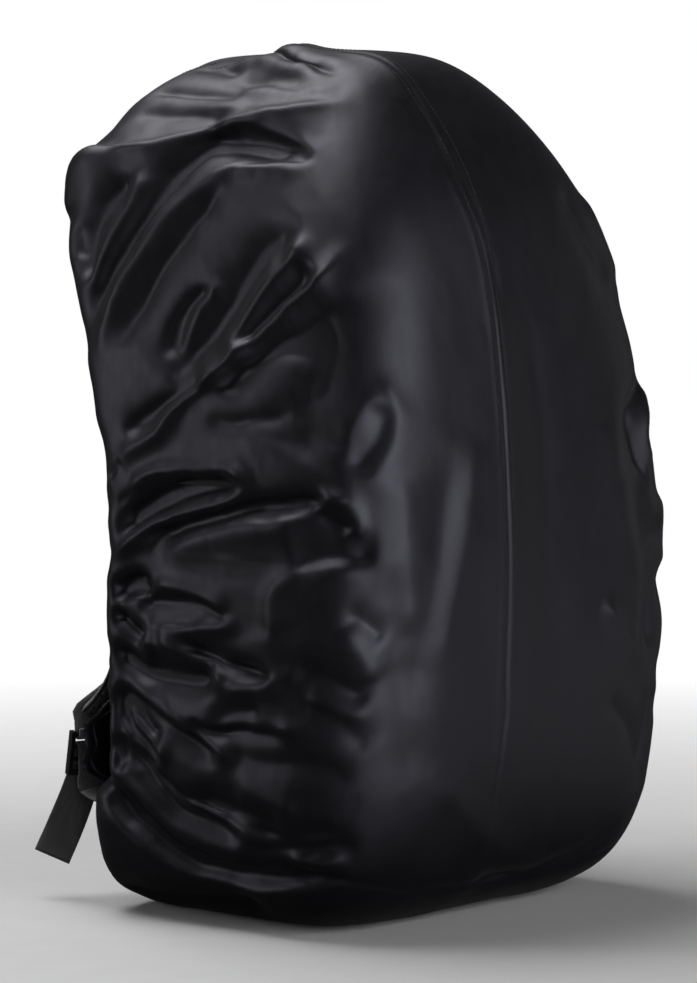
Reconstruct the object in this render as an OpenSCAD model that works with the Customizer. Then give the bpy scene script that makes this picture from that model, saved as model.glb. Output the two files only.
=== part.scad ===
// Rucksack with an elasticated rain cover drawn over it, standing on its base.
// Millimetres. +Z is up, the wearer's side is +Y, and the front of the bag is -Y.
// The wearer's left is -X. The origin is on the floor, at the middle of the cover's flat base.

/* [Cover] */
// Height of the covered bag
bag_h = 540; // [500:5:580]
// Widest half width of the cover
half_w = 164; // [150:1:175]
// Height of the widest point, and centre of the base curve
waist_z = 164; // [150:1:180]
// Squareness of the arched top
top_power = 2.34; // [2.2:0.02:3]
// Squareness of the bottom corners
base_power = 5.4; // [4:0.1:7]
// Squareness of the front edges
front_power = 5.44; // [4:0.1:7]
// Squareness of the back edges
back_power = 8.35; // [6:0.1:10]
// Thickness of the coated nylon with its seam allowance
cover_t = 1.0; // [0.8:0.1:1.4]
// Radius of the elastic cord in the hem
cord_r = 1.3; // [1:0.1:1.5]

/* [Pack] */
// Gap from the cover's face to the pack's side
pack_gap = 9; // [8.5:0.5:11]
// Extra gap in front, where the pocket stands
front_gap = 22; // [20:1:26]
// Thickness of the pack's padded wall
wall_t = 2.5; // [2:0.1:3]
// Height of the front pocket's top above the floor
pocket_top = 300; // [240:5:330]
// How far the front pocket stands out
pocket_t = 11; // [6:1:12]

/* [Harness] */
// Width of the shoulder pad at its middle
pad_w = 58; // [50:1:64]
// Thickness of the shoulder pad
pad_t = 12; // [9:0.5:13]
// Width of the strap webbing
web_w = 25; // [20:1:25]
// Thickness of the strap webbing
web_t = 1.4; // [1.2:0.1:1.5]
// Turn of the ladder locks about the vertical
lock_yaw = -15; // [-30:1:0]

/* [Fittings] */
// Outer radius of the cord lock
lock_r = 8; // [7.5:0.5:10]
// Travel of the cord lock's plunger
plunger_travel = 4; // [3:0.5:4]

/* [Hidden] */
$fn = 32;

// Colours shared by several pieces
JET = [0.03, 0.03, 0.03];
WEB_BLACK = [0.04, 0.04, 0.04];
TAB_GREY = [0.07, 0.07, 0.08];
PAD_BLACK = [0.1, 0.1, 0.11];
POCKET_GREY = [0.12, 0.12, 0.13];
FOAM_GREY = [0.13, 0.13, 0.14];
SLIDER_GREY = [0.35, 0.35, 0.36];

// ---- bodies ----
// Depth of the widest section. The front and back faces are measured from it,
// at seven heights evenly spaced from the floor to bag_h.
WIDEST_Y = 36;
COVER_FRONT = [-138, -157, -164, -162, -154, -138, -96];
COVER_BACK = [90, 77, 63, 70, 107, 155, 136];
PACK_FRONT = [for (y = COVER_FRONT) y + front_gap];
PACK_BACK = [76, 64, 51, 56, 68, 76, 68];

// Entries of a body: half width, height, front and back profiles, bottom of the base curve,
// lowest height allowed, and the rise of that height with depth below the face.
HALF = 0;
HEIGHT = 1;
FRONT = 2;
BACK = 3;
BASE = 4;
FLOOR = 5;
RISE = 6;
COVER = [half_w, bag_h, COVER_FRONT, COVER_BACK, -2, -1.5, 2.5];
HEM = [half_w, bag_h, COVER_FRONT, COVER_BACK, -2, 0.02, 1];
PACK = [half_w - pack_gap, bag_h - pack_gap, PACK_FRONT, PACK_BACK, 3.6, 0, 1];

// ---- curves ----
// A list entry, carried on straight by one step past either end.
function at(list, i) = let (last = len(list) - 1)
  i < 0 ? 2 * list[0] - list[1] : i > last ? 2 * list[last] - list[last - 1] : list[i];
// Catmull-Rom curve at fraction u of the span after entry i.
function spline(list, i, u) = let (a = at(list, i - 1), b = list[i], c = list[i + 1],
  d = at(list, i + 2))
  0.5 * (2 * b + (c - a) * u + (2 * a - 5 * b + 4 * c - d) * u * u
    + (3 * b - a - 3 * c + d) * u * u * u);
function profile(list, z) = let (
  place = max(0, min(len(list) - 1.00001, z / bag_h * (len(list) - 1))),
  i = floor(place))
  spline(list, i, place - i);
function smooth(path, steps) =
  [for (i = [0:len(path) - 2]) for (k = [0:steps - 1]) spline(path, i, k / steps),
    path[len(path) - 1]];
function unit(v) = v / norm(v);
function power_norm(a, b, power) = pow(pow(abs(a), power) + pow(abs(b), power), 1 / power);
function arc_angles(from, to, steps) = [for (i = [0:steps]) from + (to - from) * i / steps];
function ring_angles(count) = [for (i = [0:count - 1]) 360 * i / count];

// Outline radius of a body in the front view. turn runs from +X towards +Z.
function outline_r(body, turn, depth) = let (
  upper = sin(turn) >= 0,
  height = upper ? body[HEIGHT] - waist_z : waist_z - body[BASE])
  1 / power_norm(cos(turn) / (body[HALF] - depth), sin(turn) / (height - depth),
    upper ? top_power : base_power);
// A point on a body: turn as above, polar from the front pole (0) to the back pole (180),
// depth inwards from the face.
function body_pt(body, turn, polar, depth) = let (
  radius = outline_r(body, turn, depth),
  ahead = polar <= 90,
  size = power_norm(sin(polar), cos(polar), ahead ? front_power : back_power),
  spread = abs(sin(polar)) / size,
  reach = abs(cos(polar)) / size,
  z = waist_z + spread * radius * sin(turn),
  face = ahead ? profile(body[FRONT], z) + depth : profile(body[BACK], z) - depth)
  [spread * radius * cos(turn), WIDEST_Y + face * reach,
    max(z, body[FLOOR] + body[RISE] * depth)];
// Angle from a pole at which the outline is drawn at a given scale.
function scale_polar(scale, power) = atan2(scale, pow(1 - pow(scale, power), 1 / power));

// ---- meshes ----
function quad(a, b, c, d) = [[c, d, a], [b, c, a]];

// Closed skin between two point grids, rows by columns. ring closes the columns.
// first and last each hold an outer and inner pole, before the first row or after the last.
module skin(outer, inner, ring, first = [], last = []) {
  rows = len(outer);
  m = len(outer[0]);
  N = rows * m;
  first_pole = 2 * N;
  last_pole = first_pole + len(first);
  cols = [0:ring ? m - 1 : m - 2];
  end = N - m;
  faces = [
    for (i = [0:rows - 2]) for (j = cols)
      let (a = i * m + j, b = i * m + (j + 1) % m, c = b + m, d = a + m)
      each concat(quad(a, b, c, d), quad(N + a, N + d, N + c, N + b)),
    for (j = cols) let (a = end + j, b = end + (j + 1) % m)
      each len(last) ? [[b, last_pole, a], [last_pole + 1, N + b, N + a]]
        : quad(a, b, N + b, N + a),
    for (a = cols) let (b = (a + 1) % m)
      each len(first) ? [[b, a, first_pole], [N + a, N + b, first_pole + 1]]
        : quad(a, N + a, N + b, b),
    if (!ring) for (i = [0:rows - 2])
      let (a = i * m, b = a + m, c = a + m - 1, d = c + m)
      each concat(quad(a, b, N + b, N + a), quad(c, N + c, N + d, d))];
  points = concat([for (r = outer) each r], [for (r = inner) each r], first, last);
  polyhedron(points = points, faces = faces, convexity = 8);
}

// A panel of a body between two depths below its face, closed at the "front" or "back" pole.
module panel(body, polars, turns, outer, inner, ring = false, pole = "") {
  function grid(depth) = [for (p = polars) [for (t = turns) body_pt(body, t, p, depth)]];
  function poles(polar) = [body_pt(body, 0, polar, outer), body_pt(body, 0, polar, inner)];
  skin(grid(outer), grid(inner), ring,
    pole == "front" ? poles(0) : [], pole == "back" ? poles(180) : []);
}

// A closed tube through rows of section points. ring joins the last row to the first.
module tube(rows, ring = false) {
  n = len(rows);
  m = len(rows[0]);
  end = (n - 1) * m;
  faces = [
    for (i = [0:ring ? n - 1 : n - 2]) for (j = [0:m - 1])
      let (row = i * m, next = (i + 1) % n * m, k = (j + 1) % m)
      each quad(row + j, next + j, next + k, row + k),
    if (!ring) for (j = [1:m - 2]) each [[0, j, j + 1], [end, end + j + 1, end + j]]];
  polyhedron(points = [for (r = rows) each r], faces = faces, convexity = 6);
}

function tangent(path, i) = unit(path[min(i + 1, len(path) - 1)] - path[max(i - 1, 0)]);
// Width direction and face normal of a band at one point of its path.
function band_frame(path, i, across) = let (
  along = tangent(path, i),
  side = unit(across - (across * along) * along))
  [side, cross(along, side)];
// Flat band with bevelled edges along a path. across (width direction) and width are
// given once, or as a list with one entry for each point.
module band(path, across, width, thick, bevel)
  tube([for (i = [0:len(path) - 1]) let (
    frame = band_frame(path, i, is_list(across[0]) ? across[i] : across),
    w = (is_list(width) ? width[i] : width) / 2, h = thick / 2, c = bevel)
    [for (q = [[-w + c, -h], [w - c, -h], [w, -h + c], [w, h - c],
      [w - c, h], [-w + c, h], [-w, h - c], [-w, -h + c]])
      path[i] + q[0] * frame[0] + q[1] * frame[1]]]);

// Six-sided section of a cord.
function cord_section(centre, radius, u, v) =
  [for (k = [0:5]) centre + radius * cos(60 * k) * u + radius * sin(60 * k) * v];
module cord(path, radius)
  tube([for (i = [0:len(path) - 1]) let (
    along = tangent(path, i),
    u = unit(cross(along, abs(along[2]) < 0.9 ? [0, 0, 1] : [0, 1, 0])))
    cord_section(path[i], radius, u, cross(along, u))]);

// ---- rain cover ----
SHELL_END = 124;
SHELL_POLARS = [10, 20, 28, 34, 39, 43, 47, 51, 57, 66, 78, 90, 102, 114, SHELL_END];
COVER_RING = ring_angles(44);
module cover_shell() color([0.055, 0.055, 0.065]) difference() {
  panel(COVER, SHELL_POLARS, COVER_RING, 0, cover_t, ring = true, pole = "front");
  translate([-300, -300, -20]) cube([600, 600, 20]);
}

// Hem on the wearer's side, with its opening drawn in to 0.80 of the outline.
HEM_END = 180 - scale_polar(0.80, back_power);
HEM_POLARS = [SHELL_END + 0.3, 127.5, 130.5, 133, 135.5, 138, HEM_END];
HEM_T = 0.8;
// Outer and inner radius of the fold round the cord
FOLD_O = 3.1;
FOLD_I = 2.5;
function fold_pt(edge, turn, radius, a) = [edge[0] + cos(turn) * radius * cos(a),
  edge[1] - FOLD_O + radius * sin(a), edge[2] + sin(turn) * radius * cos(a)];
// Section at one turn: out along the fabric, round the cord in a fold, and back.
function hem_row(turn) = let (edge = body_pt(HEM, turn, HEM_END, 0)) [
  for (p = HEM_POLARS) body_pt(HEM, turn, p, 0),
  for (a = [110:30:290]) fold_pt(edge, turn, FOLD_O, a),
  for (a = [290:-30:110]) fold_pt(edge, turn, FOLD_I, a),
  for (i = [len(HEM_POLARS) - 1:-1:0]) body_pt(HEM, turn, HEM_POLARS[i], HEM_T)];
module cover_hem() color([0.05, 0.05, 0.06]) tube([for (t = COVER_RING) hem_row(t)], true);

function hem_axis(turn) = body_pt(COVER, turn, HEM_END, 0) - [0, FOLD_O, 0];
module hem_cord() color(JET) {
  path = [for (t = COVER_RING) hem_axis(t)];
  n = len(path);
  tube([for (i = [0:n - 1]) let (
    along = unit(path[(i + 1) % n] - path[(i + n - 1) % n]),
    v = unit(cross(along, [0, 1, 0])))
    cord_section(path[i], cord_r, cross(v, along), v)], true);
}

// Tape inside the cover, up the front and over the top, a little to the wearer's left.
SEAM_X = -36;
TAPE_HALF = 10;
TAPE_OUTER = cover_t + 3.8;
TAPE_INNER = cover_t + 4.4;
TAPE_POWER = 5.4;
// The shell's stations from the third on, then the tape's own end
TAPE_POLARS = [for (i = [2:len(SHELL_POLARS) - 2]) SHELL_POLARS[i], 122];
function tape_pt(polar, x, depth) =
  let (spread = sin(polar) / power_norm(sin(polar), cos(polar), TAPE_POWER))
  body_pt(COVER, 90 - asin(x / ((bag_h - waist_z) * spread)), polar, depth);
module cover_seam_tape() color(POCKET_GREY)
  tube([for (p = TAPE_POLARS) [
    tape_pt(p, SEAM_X - TAPE_HALF, TAPE_OUTER), tape_pt(p, SEAM_X + TAPE_HALF, TAPE_OUTER),
    tape_pt(p, SEAM_X + TAPE_HALF, TAPE_INNER), tape_pt(p, SEAM_X - TAPE_HALF, TAPE_INNER)]]);

// ---- cord lock, at the bottom of the hem, its plunger upwards ----
LOCK_AT = hem_axis(270) + [0, 17, 2];
BORE_R = 5.8;
PLUNGER_R = 5.65;
BODY_TOP = 14.5;
// Height of the cross hole in the body, and of its lowest place in the plunger
CROSS_Z = 8;
SLOT_Z = CROSS_Z + 0.2;
SLOT_R = 2.8;
module cord_lock_body() color(JET) translate(LOCK_AT) difference() {
  rotate_extrude($fn = 48) polygon([[0, -3], [lock_r - 1.5, -3], [lock_r, -1.5],
    [lock_r, BODY_TOP - 1], [lock_r - 1, BODY_TOP], [BORE_R, BODY_TOP], [BORE_R, 0], [0, 0]]);
  translate([-20, 0, CROSS_Z]) rotate([0, 90, 0]) cylinder(r = 3, h = 40, $fn = 32);
}
module cord_lock_plunger() color([0.05, 0.05, 0.05]) translate(LOCK_AT) difference() {
  rotate_extrude($fn = 48)
    polygon([[0, 5], [PLUNGER_R, 5], [PLUNGER_R, 19], [PLUNGER_R - 1, 20.5], [0, 20.5]]);
  for (z = [SLOT_Z, SLOT_Z + plunger_travel])
    translate([-10, 0, z]) rotate([0, 90, 0]) cylinder(r = SLOT_R, h = 20, $fn = 32);
  translate([-10, -SLOT_R, SLOT_Z]) cube([20, 2 * SLOT_R, plunger_travel]);
}
// Four turns of wire under the plunger.
SPRING_R = 4.2;
SPRING_WIRE_R = 0.4;
module cord_lock_spring() color([0.6, 0.6, 0.62]) translate(LOCK_AT)
  tube([for (i = [0:48]) let (out = [cos(i * 30), sin(i * 30), 0])
    cord_section(SPRING_R * out + [0, 0, 0.45 + 4.1 * i / 48], SPRING_WIRE_R, out, [0, 0, -1])]);
// Both ends of the cord, out of the hem, through the lock and on to a knot.
module cord_ends() color(JET) {
  edge = body_pt(COVER, 270, HEM_END, 0);
  z = LOCK_AT[2] + CROSS_Z;
  for (s = [-1, 1]) {
    y = LOCK_AT[1] + 1.35 * s;
    cord(smooth([
      [-30, edge[1] + 3.2, edge[2] + 3 + 2 * s], [-20, y - 6, z - 2 + s],
      [-11, y, z], [0, y, z], [10, y, z], [18, y + 1, z - 3],
      [23, y + 1.5 + s, z - 12], [24, y + 2 + 0.4 * s, z - 16.5]], 4), 1.15);
  }
  translate([24, LOCK_AT[1] + 2, z - 18]) sphere(r = 3.4, $fn = 24);
}

// ---- pack ----
PACK_RING = ring_angles(40);
module pack_shell() color(PAD_BLACK)
  panel(PACK, [12, 24, 33, 39, 43.5, 48, 54, 64, 80, 96, 112, 122, 131.5], PACK_RING,
    0, wall_t, ring = true, pole = "front");
module back_panel() color([0.08, 0.08, 0.09])
  panel(PACK, [132.1, 136, 140, 145, 150, 156, 162, 168, 174], PACK_RING,
    0, wall_t, ring = true, pole = "back");

function back_y(z) = WIDEST_Y + profile(PACK_BACK, z);
// Upright pad on the pack's back face, shrunk to 0.45 at its first and last heights.
module back_cushion(heights, x0, x1, thick)
  tube([for (z = heights) let (
    y = back_y(z) + 1.3,
    size = z == heights[0] || z == heights[len(heights) - 1] ? 0.45 : 1,
    bevel = 4 * size, h = thick * size, inset = 7 * (1 - size))
    [for (q = [[x1 - inset, 0], [x1 - inset, h - bevel], [x1 - inset - bevel, h],
      [x0 + inset + bevel, h], [x0 + inset, h - bevel], [x0 + inset, 0]])
      [q[0], y + q[1], z]]]);
BACK_PAD_Z = [150, 156, 180, 210, 240, 270, 300, 330, 360, 390, 420, 426];
module back_pad_left() color(FOAM_GREY) back_cushion(BACK_PAD_Z, -88, -14, 12);
module back_pad_right() color(FOAM_GREY) back_cushion(BACK_PAD_Z, 14, 88, 12);
module lumbar_pad() color(FOAM_GREY) back_cushion([76, 82, 100, 118, 134, 140], -84, 84, 13);

// Stiffener sheet inside the back panel, and two stays just ahead of it.
SHEET_Y = 78.5;
SHEET_T = 1.5;
module plate(w, h, r, t) linear_extrude(t) union() {
  translate([-w / 2 + r, 0]) square([w - 2 * r, h]);
  translate([-w / 2, r]) square([w, h - 2 * r]);
  for (x = [-w / 2 + r, w / 2 - r], y = [r, h - r]) translate([x, y]) circle(r = r);
}
module frame_sheet() color([0.75, 0.76, 0.78])
  translate([0, SHEET_Y + SHEET_T, 46]) rotate([90, 0, 0]) plate(200, 340, 22, SHEET_T);
module frame_stays() color([0.7, 0.7, 0.72]) for (x = [-52, 52])
  translate([x, SHEET_Y - 0.3, 56]) rotate([90, 0, 0]) plate(14, 320, 6.9, 2.5);

// Front pocket: its rim follows the pack's face, and its middle stands out.
POCKET_RIM = 2.4;
POCKET_INNER = -1.2;
POCKET_SCALE = 0.80;
POCKET_ROWS = [0.25, 0.5, 0.72, 0.88, 0.96, 1];
// Scale of the rim, cut off at the pocket's top.
function pocket_scale(turn) = sin(turn) <= 0.02 ? POCKET_SCALE
  : min(POCKET_SCALE, (pocket_top - waist_z) / (outline_r(PACK, turn, 0) * sin(turn)));
function pocket_row(k, depth) = [for (t = ring_angles(36))
  body_pt(PACK, t, scale_polar(pocket_scale(t) * k, front_power), depth)];
module front_pocket() color([0.09, 0.09, 0.1])
  skin([for (k = POCKET_ROWS)
      pocket_row(k, -POCKET_RIM - (pocket_t - POCKET_RIM) * pow(1 - pow(k, 5), 0.6))],
    [for (k = POCKET_ROWS) pocket_row(k, POCKET_INNER)], true,
    first = [body_pt(PACK, 0, 0, -pocket_t), body_pt(PACK, 0, 0, POCKET_INNER)]);
module side_pocket(middle)
  panel(PACK, [64, 72, 80, 88, 96, 104, 112], arc_angles(middle - 36, middle + 36, 8),
    -POCKET_RIM, -0.5);
module side_pocket_left() color(POCKET_GREY) side_pocket(180);
module side_pocket_right() color(POCKET_GREY) side_pocket(0);
module base_panel() color([0.06, 0.06, 0.06])
  panel(PACK, [54, 64, 80, 96, 112, 122], arc_angles(216, 324, 12), -1.8, -0.3);

// Main zip: an arch round the side wall, ahead of the side pockets.
ZIP_POLAR = 51;
ZIP_TURNS = arc_angles(-27, 207, 26);
module zip_tape() color([0.04, 0.04, 0.045])
  panel(PACK, [ZIP_POLAR - 3, ZIP_POLAR, ZIP_POLAR + 3], ZIP_TURNS, -1.3, -0.4);
module zip_coil() color([0.06, 0.06, 0.06])
  cord([for (t = ZIP_TURNS) body_pt(PACK, t, ZIP_POLAR, -2.6)], 1.1);
// Right slider, over the coil low on its leg of the arch: plate, two rails, bridge and pull.
module zip_slider() translate(body_pt(PACK, -17.5, ZIP_POLAR, -4.9)) rotate([0, 0, -8]) {
  translate([-0.8, -4.5, -6]) cube([1.6, 9, 12]);
  for (y = [-4.5, 2.9]) translate([-2.2, y, -6]) cube([1.41, 1.6, 12]);
  translate([0.79, -1.2, -5]) cube([1.01, 2.4, 8]);
  translate([1.79, -2.6, -24]) difference() {
    cube([0.81, 5.2, 26]);
    translate([-1, 2.6, 4]) rotate([0, 90, 0]) cylinder(r = 1.2, h = 3);
  }
}
module zip_slider_left() color(SLIDER_GREY) mirror([1, 0, 0]) zip_slider();
module zip_slider_right() color(SLIDER_GREY) zip_slider();

// Haul loop, hanging from the top of the back.
HAUL_Z = 462;
module haul_loop() color([0.05, 0.05, 0.05]) {
  y = back_y(HAUL_Z) + 5;
  z = HAUL_Z;
  band(smooth([
    [-26, y + 0.2, z], [-25.5, y + 5, z - 6], [-22, y + 13, z - 17], [-11, y + 19, z - 25],
    [0, y + 20, z - 26.5],
    [11, y + 19, z - 25], [22, y + 13, z - 17], [25.5, y + 5, z - 6], [26, y + 0.2, z]], 4),
    [0, 0.68, 0.73], 16, 1.8, 0.6);
}

// ---- harness, left side; the right is its mirror ----
// Frame of the ladder lock: origin on its top bar, x along the bars.
LOCK_TILT = 12;
LOCK_O = [-117, 146, 106];
LOCK_ACROSS = [cos(lock_yaw), sin(lock_yaw), 0];
function in_lock(p) = let (
  y = p[1] * cos(LOCK_TILT) - p[2] * sin(LOCK_TILT),
  z = p[1] * sin(LOCK_TILT) + p[2] * cos(LOCK_TILT))
  LOCK_O + p[0] * LOCK_ACROSS + [-y * sin(lock_yaw), y * cos(lock_yaw), z];
BAR_GAP = 8;
// Radius of the webbing's centre line round a bar
WRAP_R = 2.75;
function wrap_pt(bar_z, a) = in_lock([0, WRAP_R * cos(a), bar_z + WRAP_R * sin(a)]);
module webbing(path, across) band(path, across, web_w - 1, web_t, 0.4);

// Pad centre line, from below the haul loop's ends to above the ladder lock.
PAD_POINTS = [[-54, 121, 448], [-54, 130, 441], [-54, 138, 424], [-57, 141, 396],
  [-60, 141, 360], [-63.5, 141, 320], [-67, 141, 280], [-70.5, 141, 240],
  [-78, 135, 206], [-90, 124, 177], [-102, 116.5, 154], [-110.5, 119, 138],
  [-115.5, 129, 126], in_lock([0, -2.6, 12.4])];
PAD = smooth(PAD_POINTS, 2);
PAD_LAST = len(PAD) - 1;
// The pad eases round to the lock's yaw over its lower end.
PAD_ACROSS = [for (i = [0:PAD_LAST]) let (
  b = max(0, (i / PAD_LAST - 0.62) / 0.38),
  yaw = lock_yaw * b * b * (3 - 2 * b))
  [cos(yaw), sin(yaw), 0]];
// Columns: fraction of the way down the pad, width.
PAD_TAPER = [[0.2, 42], [0.4, pad_w], [0.65, pad_w], [1, 31]];
module shoulder_pad()
  band(PAD, PAD_ACROSS, [for (i = [0:PAD_LAST]) lookup(i / PAD_LAST, PAD_TAPER)], pad_t, 3.2);
module shoulder_pad_left() color(PAD_BLACK) shoulder_pad();
module shoulder_pad_right() color(PAD_BLACK) mirror([1, 0, 0]) shoulder_pad();

// Strap webbing: along the pad's outer face, lifting near its end, then round
// the lock's top bar and back under the pad's end.
WEB_OFF = pad_t / 2 + 1.7;
WEB_LIFT = 1.9;
WEB_STEPS = [4:PAD_LAST - 3];
WEB_ON_PAD = [for (i = WEB_STEPS)
  PAD[i] - (WEB_OFF + WEB_LIFT * max(0, min(1, (i - PAD_LAST + 9) / 3)))
    * band_frame(PAD, i, PAD_ACROSS[i])[1]];
WEB_IN_LOCK = [
  for (p = [[0, 6.4, 15.6], [0, 5, 8.5], [0, 3.4, 3.2]]) in_lock(p),
  for (a = [0:-30:-180]) wrap_pt(0, a),
  for (p = [[0, -WRAP_R, 2], [0, -2.72, 4.4]]) in_lock(p)];
module strap_webbing() webbing(concat(WEB_ON_PAD, WEB_IN_LOCK),
  [for (i = WEB_STEPS) PAD_ACROSS[i], for (p = WEB_IN_LOCK) LOCK_ACROSS]);
module strap_webbing_left() color(WEB_BLACK) strap_webbing();
module strap_webbing_right() color(WEB_BLACK) mirror([1, 0, 0]) strap_webbing();

// Ladder lock: two side rails, three bars, a bottom plate and a thumb lip.
LOCK_T = 4.4;
LOCK_HALF = web_w / 2 + 4;
RAIL_W = 2.8;
module ladder_lock() translate(LOCK_O) rotate([0, 0, lock_yaw]) rotate([LOCK_TILT, 0, 0]) {
  for (x = [-LOCK_HALF, LOCK_HALF - RAIL_W])
    translate([x, -LOCK_T / 2, -24]) cube([RAIL_W, LOCK_T, 26.5]);
  for (z = [0, -BAR_GAP, -2 * BAR_GAP]) translate([-web_w / 2 - 2, 0, z])
    rotate([0, 90, 0]) cylinder(r = 1.75, h = web_w + 4, $fn = 24);
  translate([-LOCK_HALF, -LOCK_T / 2, -26.5]) cube([2 * LOCK_HALF, LOCK_T, 4]);
  translate([-web_w / 2 + 1, LOCK_T / 2 - 0.01, -28.5]) cube([web_w - 2, 2.2, 6]);
}
module ladder_lock_left() color(JET) ladder_lock();
module ladder_lock_right() color(JET) mirror([1, 0, 0]) ladder_lock();

// Tab on the pack's bottom corner that the lower webbing starts from.
TAB_Z = 64;
TAB = [-106, back_y(TAB_Z) + 2.6, TAB_Z];
module webbing_tab() band([TAB + [2, 0.8, -26], TAB + [1, 0, -12], TAB + [0, 0, 2]],
  [1, 0, 0], [44, 36, 27], 1.6, 0.4);
module webbing_tab_left() color(TAB_GREY) webbing_tab();
module webbing_tab_right() color(TAB_GREY) mirror([1, 0, 0]) webbing_tab();

// Lower webbing: from the tab, up the lock's inner face, and round its middle bar.
LOWER = concat(
  smooth([TAB + [0, 1.7, 3], TAB + [-3, 12, 2], TAB + [-9, 26, 1],
    in_lock([0, -9, -33]), in_lock([0, -7, -22.5]), in_lock([0, -5, -14])], 3),
  [in_lock([0, -3.4, -10.1])],
  [for (a = [165, 130, 90, 50, 15]) wrap_pt(-BAR_GAP, a)]);
module lower_webbing() webbing(LOWER, [for (i = [0:len(LOWER) - 1])
  let (b = min(1, i / 10)) (1 - b) * [1, 0.1, 0] + b * LOCK_ACROSS]);
module lower_webbing_left() color(WEB_BLACK) lower_webbing();
module lower_webbing_right() color(WEB_BLACK) mirror([1, 0, 0]) lower_webbing();

// Loose tail, from the outer side of the middle bar down to its cut end, twisting as it goes.
TAIL = concat([in_lock([0, 2.9, -9.7]), in_lock([0, 3.2, -11.7])],
  smooth([in_lock([0, 6.2, -19]), in_lock([0, 6.4, -29.5]),
    [-116.5, 162.5, 62], [-122, 167.5, 43.5], [-128, 173, 25]], 3));
TAIL_END_ACROSS = [0.59, -0.674, -0.436];
module webbing_tail() webbing(TAIL, [for (i = [0:len(TAIL) - 1])
  let (k = max(0, (i - 4) / (len(TAIL) - 5))) (1 - k) * LOCK_ACROSS + k * TAIL_END_ACROSS]);
module webbing_tail_left() color(WEB_BLACK) webbing_tail();
module webbing_tail_right() color(WEB_BLACK) mirror([1, 0, 0]) webbing_tail();

// Sternum strap half: a slider on the strap webbing, midway between two points of the pad.
STER_ABOVE = PAD_POINTS[5];
STER_BELOW = PAD_POINTS[6];
STER_O = (STER_ABOVE + STER_BELOW) / 2;
STER_TURN = atan2(STER_ABOVE[0] - STER_BELOW[0], STER_ABOVE[2] - STER_BELOW[2]);
STER_HALF = web_w / 2 + 2.2;
module sternum_slider()
  translate(STER_O) rotate([0, STER_TURN, 0]) translate([0, WEB_OFF, 0]) {
    translate([-STER_HALF, 1.1, -6]) cube([2 * STER_HALF, 2, 12]);
    for (x = [-STER_HALF, STER_HALF - 2]) translate([x, -1.2, -6]) cube([2, 2.4, 12]);
  }
module sternum_slider_left() color(JET) sternum_slider();
module sternum_slider_right() color(JET) mirror([1, 0, 0]) sternum_slider();

// Short strap hanging from the slider.
STER_Y = STER_O[1] + WEB_OFF + 4.4;
module sternum_webbing()
  band(smooth([[-68, STER_Y, 302], [-58, STER_Y + 1.2, 296], [-46.5, STER_Y + 3, 284],
    [-39, STER_Y + 3.6, 266], [-36, STER_Y + 3, 250]], 4), [0.6, 0, 1], 15, 1.2, 0.3);
module sternum_webbing_left() color(WEB_BLACK) sternum_webbing();
module sternum_webbing_right() color(WEB_BLACK) mirror([1, 0, 0]) sternum_webbing();

// Side-release buckle, undone: the plug hangs on the left, the socket on the right.
module buckle_frame() translate([-35.5, STER_Y + 3, 248]) rotate([0, 12, 0]) children();
module sternum_buckle_plug() color(JET) buckle_frame() {
  translate([-11, -2.5, -10]) cube([22, 5, 8]);
  translate([-1.5, -1.5, -22]) cube([3, 3, 12.1]);
  for (x = [-10.5, 8]) translate([x, -1.8, -27]) cube([2.5, 3.6, 17.1]);
  for (x = [-10.5, 6.5]) translate([x, -1.8, -30]) cube([4, 3.6, 5]);
}
module sternum_buckle_socket() color(JET) mirror([1, 0, 0]) buckle_frame() difference() {
  translate([-13, -4, -32]) cube([26, 8, 30]);
  translate([-11, -2.4, -33]) cube([22, 4.8, 24]);
  for (x = [-14, 9]) translate([x, -2.4, -24]) cube([5, 4.8, 10]);
}

cover_shell();
cover_hem();
cover_seam_tape();
hem_cord();
cord_lock_body();
cord_lock_spring();
cord_lock_plunger();
cord_ends();
pack_shell();
back_panel();
back_pad_left();
back_pad_right();
lumbar_pad();
frame_sheet();
frame_stays();
front_pocket();
side_pocket_left();
side_pocket_right();
base_panel();
zip_tape();
zip_coil();
zip_slider_left();
zip_slider_right();
haul_loop();
webbing_tab_left();
webbing_tab_right();
lower_webbing_left();
lower_webbing_right();
shoulder_pad_left();
shoulder_pad_right();
strap_webbing_left();
strap_webbing_right();
ladder_lock_left();
ladder_lock_right();
webbing_tail_left();
webbing_tail_right();
sternum_slider_left();
sternum_slider_right();
sternum_webbing_left();
sternum_webbing_right();
sternum_buckle_plug();
sternum_buckle_socket();
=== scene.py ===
# A standing rucksack under an elasticated rain cover, with its harness on the open back.
# The scene is in metres, +Z up, floor at z = 0, the wearer's side at +Y and "left" at -X.
# Shapes are worked out in millimetres and scaled by MM when the meshes are made.
import functools
import math

import bmesh
import bpy
import numpy as np
from mathutils import Matrix, Vector


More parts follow.
